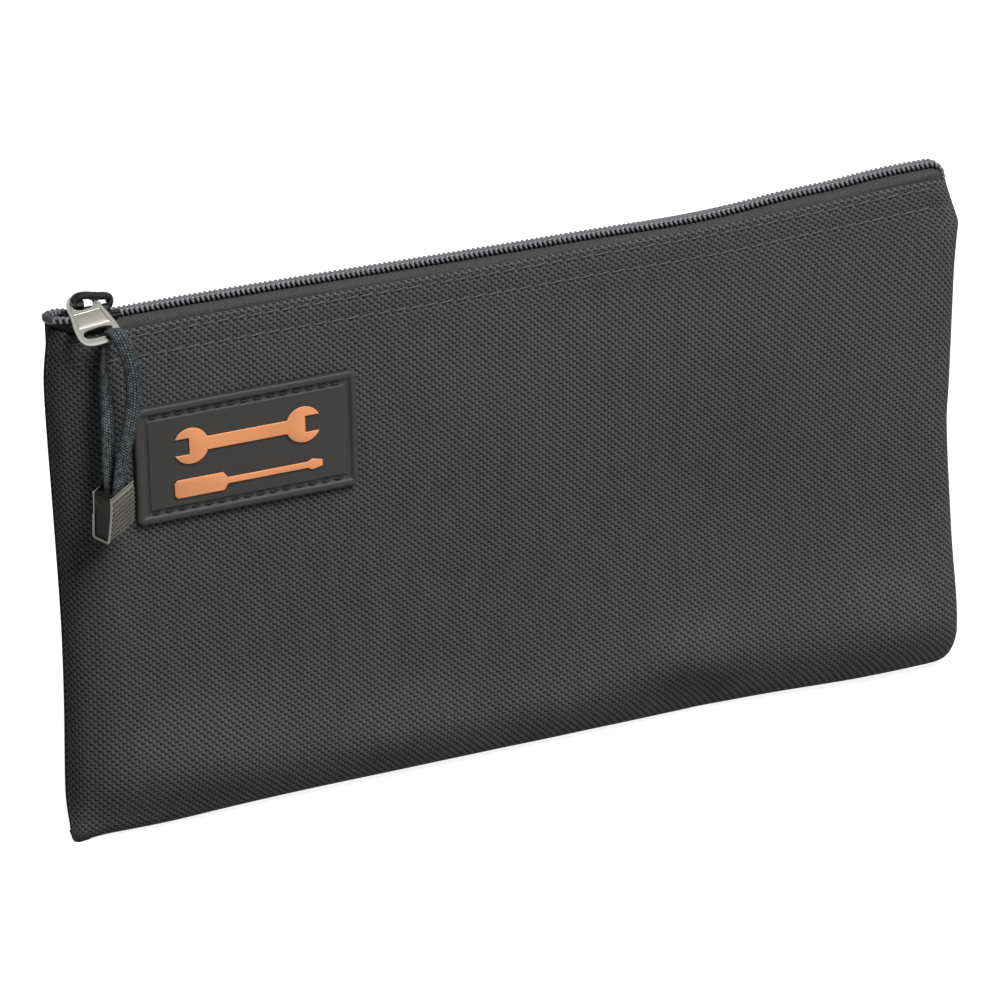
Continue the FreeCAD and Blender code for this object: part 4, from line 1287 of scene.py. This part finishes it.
@dataclass(frozen=True)
class PullTab:
    """The cast tab: a recessed face in a raised rim, with an eye at its head and a slot at its foot.

    A point on the flat tab is given across it, along it from the arch, and out from its middle plane.
    """

    pivot: Triple = (-144.7, 0.0, 181.1)
    tilt: float = 30.0
    yaw: float = 6.5
    behind: float = 2.9
    ahead: float = 17.3
    head_width: float = 10.0
    foot_width: float = 15.9
    square: float = 4.0
    rim: float = 0.78
    face: Pair = (4.3, 10.2)
    thick: float = 1.15
    crown: tuple[Pair, ...] = ((0.0, -0.35), (0.0, 0.02), (0.7, 0.12), (1.4, 0.19), (2.4, 0.23))
    eye: Triple = (0.8, 3.6, 2.5)
    slot: Triple = (13.0, 5.2, 1.9)
    hole_square: float = 2.6
    round_off: float = 0.18
    rim_hold: float = 0.9
    face_overlap: float = 0.3
    points: int = 72
    rim_points: int = 96
    ring: float = 0.6
    ring_gap: float = 0.45
    sharp: float = 35.0

    def place(self, flat: Vector) -> Vector:
        """Turn a point on the flat tab into its place."""
        tilt = math.radians(self.tilt)
        down = Vector((0, -math.cos(tilt), -math.sin(tilt)))
        out = Vector((0, -math.sin(tilt), math.cos(tilt)))
        turned = Matrix.Rotation(math.radians(-self.yaw), 3, "Z") @ flat
        return Vector(self.pivot) + Vector((turned.x, 0, 0)) + down * turned.y + out * turned.z

    def edge(self, angle: float, inset: float, low: float, high: float) -> Vector:
        """A point of the tab's outline, cut off outside two places along it."""
        across, share = squarish(angle, self.square)
        length = self.ahead + self.behind
        run = (self.ahead - self.behind) / 2 + (length / 2 - inset) * share
        run = clamp(run, low, high)
        width = self.head_width + (self.foot_width - self.head_width) * (run + self.behind) / length
        return Vector((across * (width / 2 - inset), run, 0))

    def hole(self, angle: float, size: Triple, grow: float = 0.0) -> Vector:
        """A point round the eye or the slot."""
        middle, wide, long = size
        across, run = squarish(angle, self.hole_square)
        return Vector((across * (wide + grow), middle + run * (long + grow), 0))

    def framed(self, low: float, high: float, size: Triple) -> bmesh.types.BMesh:
        """Make the part of the tab round a hole, with its edges rounded off."""
        half, cut = self.thick / 2, self.round_off
        steps = ((0, cut, -half), (0, 0, cut - half), (0, 0, half - cut), (0, cut, half),
                 (1, cut, half), (1, 0, half - cut), (1, 0, cut - half), (1, cut, -half), (0, cut, -half))

        def shape(angle: float, ring: int) -> Vector:
            """One point of the section, on the outside or round the hole."""
            inner, inset, rise = steps[ring]
            if inner:
                flat = self.hole(angle, size, inset)
            else:
                flat = self.edge(angle, self.rim * self.rim_hold + inset, low + inset, high - inset)
            return flat + Vector((0, 0, rise))

        return sleeve(self.points, len(steps), shape, capped=False)

    def panel(self, low: float, high: float) -> bmesh.types.BMesh:
        """Make the recessed face between the head and the foot, rounded a little."""

        def shape(angle: float, ring: int) -> Vector:
            """One point of the face's edge or of its crown."""
            inset, rise = self.crown[ring]
            flat = self.edge(angle, self.rim * self.rim_hold + inset, low + inset, high - inset)
            return flat + Vector((0, 0, rise))

        return sleeve(self.points, len(self.crown), shape)

    def build(self, name: str) -> bpy.types.Object:
        """Cast the tab."""
        start, end = self.face
        bm = self.framed(-self.behind, start, self.eye)
        join(bm, self.panel(start - self.face_overlap, end + self.face_overlap))
        join(bm, self.framed(end, self.ahead, self.slot))
        turns = [2 * math.pi * k / self.rim_points for k in range(self.rim_points)]
        rim = [self.edge(a, self.rim, -self.behind, self.ahead) for a in turns]
        rings = [[self.hole(a, size, self.ring_gap) for a in turns[::2]] for size in (self.eye, self.slot)]
        join(bm, wires([rim], self.rim, 10, cyclic=True))
        join(bm, wires(rings, self.ring, 10, cyclic=True))
        for vert in bm.verts:
            vert.co = self.place(vert.co)
        bmesh.ops.recalc_face_normals(bm, faces=bm.faces[:])
        piece = to_piece(name, bm, NICKEL)
        piece.data.set_sharp_from_angle(angle=math.radians(self.sharp))
        return piece


@dataclass(frozen=True)
class Pull:
    """The braid loop on the tab, in millimetres: a flat cord that runs through the tab's slot.

    The twist is the turn of its flat side from the front, in degrees, for shares of its length.
    """

    width: float = 5.2
    thick: float = 1.9
    sides: int = 20
    step: float = 0.42
    square: float = 2.5
    rib: float = 0.03
    route: tuple[Triple, ...] = (
        (-144.0, -16.2, 121.0), (-143.7, -15.6, 131.0), (-142.9, -14.2, 144.0), (-142.7, -12.9, 156.0),
        (-142.6, -11.8, 165.0), (-140.8, -10.8, 171.2), (-139.4, -11.4, 175.0), (-138.6, -15.8, 175.2),
        (-137.2, -18.0, 171.0), (-135.2, -18.4, 163.0), (-135.2, -18.0, 152.0), (-138.0, -17.8, 140.5),
        (-140.6, -18.0, 132.0), (-142.6, -18.4, 121.0))
    twist: tuple[Pair, ...] = (
        (0.0, 36), (0.12, 18), (0.26, 22), (0.36, 58), (0.42, 56), (0.47, 14), (0.52, 0), (0.6, -6),
        (0.75, 6), (0.9, 20), (1.0, 36))

    def build(self, name: str) -> tuple[bpy.types.Object, list[Vector]]:
        """Braid the loop.

        Args:
            name: the piece's name.

        Returns:
            The cord and the points that it follows, in metres.
        """
        line = evenly(smooth_line(self.route), self.step)
        bm = sleeve(self.sides, len(line), lambda angle, k: self.lay(line, angle, k), self.step)
        return to_piece(name, bm, BRAID), [p * MM for p in line]

    def lay(self, line: Sequence[Vector], angle: float, k: int) -> Vector:
        """Place one point of the cord's flat section."""
        before, after = line[max(k - 1, 0)], line[min(k + 1, len(line) - 1)]
        ahead = (after - before).normalized()
        turn = math.radians(along(self.twist, k / (len(line) - 1)))
        level = Vector((math.cos(turn), math.sin(turn), 0))
        across = (level - ahead * level.dot(ahead)).normalized()
        side, lift = squarish(angle, self.square)
        rib = 1.0 + (self.rib if k % 2 else -self.rib)
        return line[k] + (across * side * self.width / 2 + ahead.cross(across) * lift * self.thick / 2) * rib


@dataclass(frozen=True)
class CordClip:
    """The clip on the braid's ends: a folded steel shell with ribs, a jaw plate, a core and a pin.

    A point is given along the clip, through it from the ribbed front to the back, and up. A span along the
    clip is in shares of its half length.
    """

    middle: Pair = (-143.3, -17.2)
    turn: float = 30.0
    rake: Pair = (0.12, 0.25)
    foot: Pair = (110.4, 6.2)
    mouth: Pair = (125.2, 5.4)
    wall: float = 0.55
    front: tuple[Pair, ...] = (
        (-3.65, 125.2), (-3.8, 122.8), (-3.75, 120.4), (-3.4, 117.0), (-3.0, 113.6), (-2.6, 110.9))
    back: tuple[Pair, ...] = ((-2.2, 110.4), (3.3, 110.4), (3.65, 110.9), (3.65, 118.0), (3.65, 125.2))
    rib_span: Triple = (-0.88, 0.0, 1.0)
    rib: float = 0.47
    rib_from: float = 123.0
    rib_step: float = 1.65
    ribs: int = 8
    lip: float = 0.48
    lip_insets: Pair = (0.1, 0.25)
    rim: float = 0.32
    rim_place: float = -0.98
    jaw: Pair = (119.6, 124.3)
    core_lift: float = 0.5
    core_share: float = 0.92
    jaw_share: float = 0.97
    core_fit: float = 0.8
    pin: Pair = (1.7, 122.2)
    pin_span: Triple = (-0.99, 0.0, 0.99)
    pin_size: float = 0.85
    pin_dish: Pair = (0.2, -0.45)
    softness: Pair = (0.12, 0.2)

    def place(self, share: float, through: float, z: float) -> Vector:
        """Turn a point of the clip into its place; the share is that of its half length."""
        half = along((self.foot, self.mouth), z)
        turn = math.radians(self.turn)
        x = share * half * math.cos(turn) - through * math.sin(turn)
        y = share * half * math.sin(turn) + through * math.cos(turn)
        return Vector((self.middle[0] + x, self.middle[1] + y, z + self.rake[0] * x + self.rake[1] * y))

    def front_at(self, z: float) -> float:
        """The front wall's outer face at a height."""
        return along([(up, through) for through, up in reversed(self.front)], z)

    def shell(self, name: str) -> bpy.types.Object:
        """Fold the shell: a U of sheet, open at its ends and its mouth, with a rolled lip and ribs."""
        path = self.front + self.back

        def shape(i: int, j: int) -> tuple[Vector, Pair]:
            """Place and UV of one point."""
            return self.place(i - 1, *path[j]), (i, path[j][1])

        sheet = strip(2, len(path) - 1, shape, Vector((0, 0, -1)))
        bmesh.ops.solidify(sheet, geom=sheet.faces[:], thickness=self.wall)
        bars = []
        for k in range(self.ribs):
            z = self.rib_from - self.rib_step * k
            bars.append([self.place(share, self.front_at(z), z) for share in self.rib_span])
        join(sheet, wires(bars, self.rib, 8))
        top = self.mouth[0]
        lips = [[self.place(share, through, top) for share in (-1, 0, 1)]
                for through in (self.front[0][0] + self.lip_insets[0], self.back[-1][0] - self.lip_insets[1])]
        join(sheet, wires(lips, self.lip, 10))
        rim = [self.place(self.rim_place, through, z) for through, z in path[:-1]]
        join(sheet, wires([rim], self.rim, 8))
        piece = to_piece(name, sheet, CLIP_STEEL)
        soften(piece, self.softness[0])
        return piece

    def block(self, low: float, high: float, share: float) -> bmesh.types.BMesh:
        """Fill the shell between two heights."""
        bm = bmesh.new()
        bmesh.ops.create_cube(bm, size=2.0)
        inset = self.wall * self.core_fit
        for vert in bm.verts:
            z = high if vert.co.z > 0 else low
            through = self.back[-1][0] - inset if vert.co.y > 0 else self.front_at(z) + inset
            vert.co = self.place(share * vert.co.x, through, z)
        bmesh.ops.recalc_face_normals(bm, faces=bm.faces)
        return bm

    def core(self, name: str) -> bpy.types.Object:
        """Make the black core and the jaw plate over it."""
        bm = self.block(self.foot[0] + self.core_lift, self.jaw[0], self.core_share)
        join(bm, self.block(*self.jaw, self.jaw_share), finish=1)
        piece = to_piece(name, bm, CORE_AND_PIN_SHADE, CLIP_JAW)
        soften(piece, self.softness[1])
        return piece

    def cross_pin(self, name: str) -> bpy.types.Object:
        """Turn the pin, with a dished end, in the core's black, which paints shade where its end shows as a
        hole.
        """
        bm = wires([[self.place(share, *self.pin) for share in self.pin_span]], self.pin_size, 16)
        ends = [face for face in bm.faces if len(face.verts) > 4]
        thickness, depth = self.pin_dish
        for end in ends:
            bmesh.ops.inset_region(bm, faces=[end], thickness=thickness, depth=depth)
        # Painted shade: the pin's end is black so that it reads as a dark hole.
        return to_piece(name, bm, CORE_AND_PIN_SHADE)


@dataclass(frozen=True)
class RubberLabel:
    """The moulded label: a raised round rim, a sewing groove and a flat middle for the motif.

    A step of its section is its inset from the edge and its rise from the back.
    """

    low: Triple = (-133.0, -10.9, 107.0)
    high: Triple = (-58.0, -8.4, 146.0)
    corner: float = 2.4
    least_corner: float = 0.4
    hair: float = 1e-6
    points: int = 48
    steps: tuple[Pair, ...] = (
        (0.0, 0.0), (0.0, 1.85), (0.12, 2.15), (0.45, 2.4), (1.0, 2.5), (1.7, 2.5), (2.1, 2.35), (2.25, 1.85),
        (4.3, 1.85), (4.45, 2.1), (4.8, 2.2))
    motif_edge: float = 0.16
    stitch_ends: float = 5.0
    stitch_inset: float = 3.3
    stitch_depth: float = 1.9
    stitch_pitch: float = 4.4
    stitch_length: float = 2.9

    def edge(self, angle: float, inset: float, rise: float) -> Vector:
        """A point of the rounded outline, some way in from the edge and out from the back."""
        wide, tall = (self.high[0] - self.low[0]) / 2, (self.high[2] - self.low[2]) / 2
        round_off = max(self.corner - inset, self.least_corner)
        across, up = math.cos(angle), math.sin(angle)
        x = (wide - inset - round_off) * (1 if across > self.hair else -1) + round_off * across
        z = (tall - inset - round_off) * (1 if up > -self.hair else -1) + round_off * up
        return Vector((self.low[0] + wide + x, self.high[1] - rise, self.low[2] + tall + z))

    def base(self, name: str) -> bpy.types.Object:
        """Mould the label, ring by ring from its back to its middle."""
        bm = sleeve(self.points, len(self.steps), lambda angle, ring: self.edge(angle, *self.steps[ring]))
        piece = to_piece(name, bm, RUBBER)
        for face in piece.data.polygons:
            face.use_smooth = len(face.vertices) == 4
        return piece

    def motif(self, name: str, node: str) -> bpy.types.Object:
        """Mould one piece of the motif from its solid, with rounded edges."""
        bm = bmesh.new()
        bm.from_mesh(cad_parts[node].data)
        bmesh.ops.remove_doubles(bm, verts=bm.verts, dist=0.001 * MM)
        bmesh.ops.dissolve_limit(bm, angle_limit=math.radians(1), verts=bm.verts, edges=bm.edges)
        bmesh.ops.scale(bm, vec=(1 / MM,) * 3, verts=bm.verts)
        piece = to_piece(name, bm, ORANGE)
        soften(piece, self.motif_edge, 3)
        return piece

    def thread(self, name: str, sewing: Sewing) -> bpy.types.Object:
        """Sew the label on along the groove at its top and its foot."""
        ends = []
        left, right = self.low[0] + self.stitch_ends, self.high[0] - self.stitch_ends
        count = int((right - left) / self.stitch_pitch)
        for z in (self.low[2] + self.stitch_inset, self.high[2] - self.stitch_inset):
            for k in range(count + 1):
                x = left + self.stitch_pitch * k
                y = self.high[1] - self.stitch_depth
                ends.append((Vector((x, y, z)), Vector((x + self.stitch_length, y, z))))
        return sewing.row(name, ends, Vector((0, -1, 0)), LABEL_THREAD)


class Studio:
    """The camera, the floor, the sky and the lamps."""

    aim = Vector((-5.488, 0.0, 87.144)) * MM
    azimuth = math.radians(-22.995)
    elevation = math.radians(23.336)
    roll = math.radians(-1.544)
    distance = 2.5
    lens = 280.53
    sensor = 36.0
    ambient = 0.12
    floor_reach = 6000.0
    floor_glow = 0.9

    def camera(self) -> None:
        """Stand the camera where the photograph was taken from."""
        a, e, r = self.azimuth, self.elevation, self.roll
        back = Vector((math.sin(a) * math.cos(e), -math.cos(a) * math.cos(e), math.sin(e)))
        level = Vector((math.cos(a), math.sin(a), 0.0))
        upright = back.cross(level)
        right = level * math.cos(r) + upright * math.sin(r)
        up = upright * math.cos(r) - level * math.sin(r)
        data = bpy.data.cameras.new("camera")
        data.lens = self.lens
        data.sensor_width = self.sensor
        camera = bpy.data.objects.new("camera", data)
        turn = Matrix((right, up, back)).transposed().to_4x4()
        camera.matrix_world = Matrix.Translation(self.aim + back * self.distance) @ turn
        bpy.context.scene.collection.objects.link(camera)
        bpy.context.scene.camera = camera

    def lamp(self, name: str, place: Sequence[float], size: Pair, watts: float,
             mirrored: bool = True) -> None:
        """Hang one soft box, turned to the pouch.

        Args:
            name: the lamp's name.
            place: where it hangs, in metres.
            size: its width and height, in metres.
            watts: its power.
            mirrored: whether shiny pieces mirror it.
        """
        data = bpy.data.lights.new(name, "AREA")
        data.shape = "RECTANGLE"
        data.size, data.size_y = size
        data.energy = watts
        lamp = bpy.data.objects.new(name, data)
        lamp.location = place
        lamp.visible_glossy = mirrored
        lamp.rotation_mode = "QUATERNION"
        lamp.rotation_quaternion = (self.aim - lamp.location).to_track_quat("-Z", "Y")
        bpy.context.scene.collection.objects.link(lamp)

    def floor(self) -> None:
        """Lay a pale floor that shows white to the camera and keeps the pouch's shadow."""
        bm = bmesh.new()
        bmesh.ops.create_grid(bm, x_segments=1, y_segments=1, size=self.floor_reach)
        plate = to_piece("floor", bm)
        material = bpy.data.materials.new("pale_floor")
        material.use_nodes = True
        tree = material.node_tree
        shader = tree.nodes["Principled BSDF"]
        shader.inputs["Base Color"].default_value = linear("#909090")
        shader.inputs["Roughness"].default_value = 0.9
        shader.inputs["Emission Color"].default_value = (1, 1, 1, 1)
        glow = add_node(tree, "Math", (self.seen(tree), self.floor_glow), operation="MULTIPLY")
        tree.links.new(glow.outputs[0], shader.inputs["Emission Strength"])
        plate.data.materials.append(material)

    def seen(self, tree: bpy.types.NodeTree) -> bpy.types.Node:
        """1 for rays from the camera, a reflection or a clear piece, and 0 for the others."""
        rays = add_node(tree, "LightPath").outputs
        some = add_node(tree, "Math", (rays["Is Camera Ray"], rays["Is Glossy Ray"]), operation="MAXIMUM")
        return add_node(tree, "Math", (some, rays["Is Transmission Ray"]), operation="MAXIMUM")

    def sky(self) -> None:
        """Light the pouch softly from all round.

        The camera sees white. Metal mirrors a sky that brightens upwards and dims again at the zenith.
        """
        world = bpy.data.worlds.new("studio")
        world.use_nodes = True
        tree = world.node_tree
        rays = add_node(tree, "LightPath").outputs
        heading = add_node(tree, "SeparateXYZ", (add_node(tree, "TexCoord").outputs["Generated"],))
        shown = add_node(tree, "MapRange", {"Value": heading.outputs[2], "From Min": 0.1, "From Max": 0.6,
                                            "To Min": 0.35, "To Max": 1.0})
        zenith = add_node(tree, "MapRange", {"Value": heading.outputs[2], "From Min": 0.7, "From Max": 0.97,
                                             "To Min": 1.0, "To Max": 0.45})
        shown = add_node(tree, "Math", (shown, zenith), operation="MULTIPLY")
        mirrored = add_node(tree, "Math", (rays["Is Glossy Ray"], rays["Is Transmission Ray"]),
                            operation="MAXIMUM")
        mirrored = add_node(tree, "Math", (mirrored, shown), operation="MULTIPLY")
        strength = add_node(tree, "Math", (mirrored, rays["Is Camera Ray"]), operation="MAXIMUM")
        strength = add_node(tree, "Math", (strength, self.ambient), operation="MAXIMUM")
        tree.nodes["Background"].inputs["Color"].default_value = (1, 1, 1, 1)
        tree.links.new(strength.outputs[0], tree.nodes["Background"].inputs["Strength"])
        bpy.context.scene.world = world

    def build(self) -> None:
        """Set the stage."""
        self.camera()
        self.floor()
        self.sky()
        self.lamp("key", (0.48, -1.0, 1.75), (0.9, 0.9), 64.0)
        self.lamp("back", (0.35, 1.7, 0.7), (1.2, 0.7), 22.0, mirrored=False)
        bpy.context.scene.view_settings.view_transform = "Standard"


class Pouch:
    """The dressed part: builds each piece, sets it on its body and hides the solids it replaces.

    The two seam places and the free place are distances from the middle, in millimetres.
    """

    left_seam = 150.0
    right_seam = 130.0
    free = 22.0

    def __init__(self) -> None:
        """Take the shape that the pieces share."""
        self.form = PouchForm()
        self.zip = Zip(self.form)
        self.sewing = Sewing(self.form)

    def fit(self, piece: bpy.types.Object, slot: str, *nodes: str, body: str = "front_half") -> None:
        """Set a piece on its body and report it."""
        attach(piece, body)
        self.note(piece, slot, *nodes)

    def note(self, piece: bpy.types.Object, slot: str, *nodes: str) -> None:
        """Hide the solids that a piece stands for, and report it."""
        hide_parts(*nodes)
        LOG.info("%s: %d faces", piece.name, len(piece.data.polygons))

    def hinge(self, piece: bpy.types.Object, span: Span, slot: str, *nodes: str) -> None:
        """Bake a back piece's place into its shape, hide the solids it stands for, and report it."""
        sign = -1 if span is Span.LEFT else 1
        near = self.left_seam if span is Span.LEFT else self.right_seam
        start, end = ((sign * x * MM, 0, 0) for x in (near, self.free))
        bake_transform(piece)
        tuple(start)
        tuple(end)
        self.note(piece, slot, *nodes)

    def front(self) -> None:
        """Build the front half."""
        cloth = ClothPanel(self.form, Side.FRONT).build("front_cloth", Span.WHOLE)
        self.fit(cloth, "panel_cloth", "front_panel")
        self.fit(self.zip.tape("front_zip_tape", Side.FRONT, Span.WHOLE), "zipper_tape", "front_tape")
        self.fit(self.zip.coil("front_zip_coil", Side.FRONT, Span.WHOLE), "coil", "front_coil")
        for word, node, row in (("edge", "front_edge_stitches", self.form.rows[0]),
                                ("hem", "front_hem_stitches", self.form.rows[1])):
            self.fit(self.sewing.hem(f"front_{word}_thread", Side.FRONT, row, Span.WHOLE), "thread", node)

    def back(self) -> None:
        """Build the back half in two spans."""
        panel = ClothPanel(self.form, Side.BACK)
        for span in (Span.LEFT, Span.RIGHT):
            end = span.name.lower()
            cloth = panel.build(f"back_cloth_{end}", span)
            self.hinge(cloth, span, "panel_cloth", "back_panel")
            tape = self.zip.tape(f"back_zip_tape_{end}", Side.BACK, span)
            self.hinge(tape, span, "zipper_tape", "back_tape")
            coil = self.zip.coil(f"back_zip_coil_{end}", Side.BACK, span)
            self.hinge(coil, span, "coil", "back_coil")
            for word, node, row in (("edge", "back_edge_stitches", self.form.rows[0]),
                                    ("hem", "back_hem_stitches", self.form.rows[1])):
                thread = self.sewing.hem(f"back_{word}_thread_{end}", Side.BACK, row, span)
                self.hinge(thread, span, "thread", node)

    def seams(self) -> None:
        """Build the bindings and the thread inside the side and bottom seams."""
        bindings = Bindings(self.form, self.sewing)
        for word, sign in (("left", -1), ("right", 1), ("bottom", 0)):
            self.fit(bindings.tape(f"{word}_seam_binding", sign), "binding", f"{word}_binding")
            self.fit(bindings.thread(f"{word}_seam_thread", sign), "thread", f"{word}_seam_stitches")

    def label(self) -> None:
        """Build the label, its motif and its thread."""
        label = RubberLabel()
        self.fit(label.base("rubber_label"), "label_rubber", "label_patch")
        self.fit(label.motif("spanner_motif", "label_spanner"), "label_print", "label_spanner")
        self.fit(label.motif("driver_motif", "label_driver"), "label_print", "label_driver")
        self.fit(label.thread("label_thread", self.sewing), "label_thread", "label_stitches")

    def pull(self) -> None:
        """Build the slider, the tab, the braid loop and its clip."""
        self.fit(Slider().build("zip_slider"), "nickel", "slider_body", body="slider")
        self.fit(PullTab().build("zip_pull_tab"), "tab_metal", "pull_tab", body="tab")
        loop, line = Pull().build("braid_loop")
        self.fit(loop, "cord", "pull_cord", body="pull")
        clip = CordClip()
        ends = [(clip.shell("clip_folded_shell"), "clip_metal", "clip_shell"),
                (clip.core("clip_core"), "clip_core", "clip_insert"),
                (clip.cross_pin("clip_cross_pin"), "pin_steel", "clip_pin")]
        for piece, slot, node in ends:
            self.fit(piece, slot, node, body="pull")
        length = sum((b - a).length for a, b in zip(line, line[1:]))
        tuple(line[0])
        [tuple(p) for p in line]


def main() -> None:
    """Build the stage and the pouch."""
    logging.basicConfig(level=logging.INFO, format="%(name)s: %(message)s")
    Studio().build()
    pouch = Pouch()
    pouch.front()
    pouch.back()
    pouch.seams()
    pouch.label()
    pouch.pull()
    bpy.context.view_layer.update()


if __name__ == "__main__":
    main()
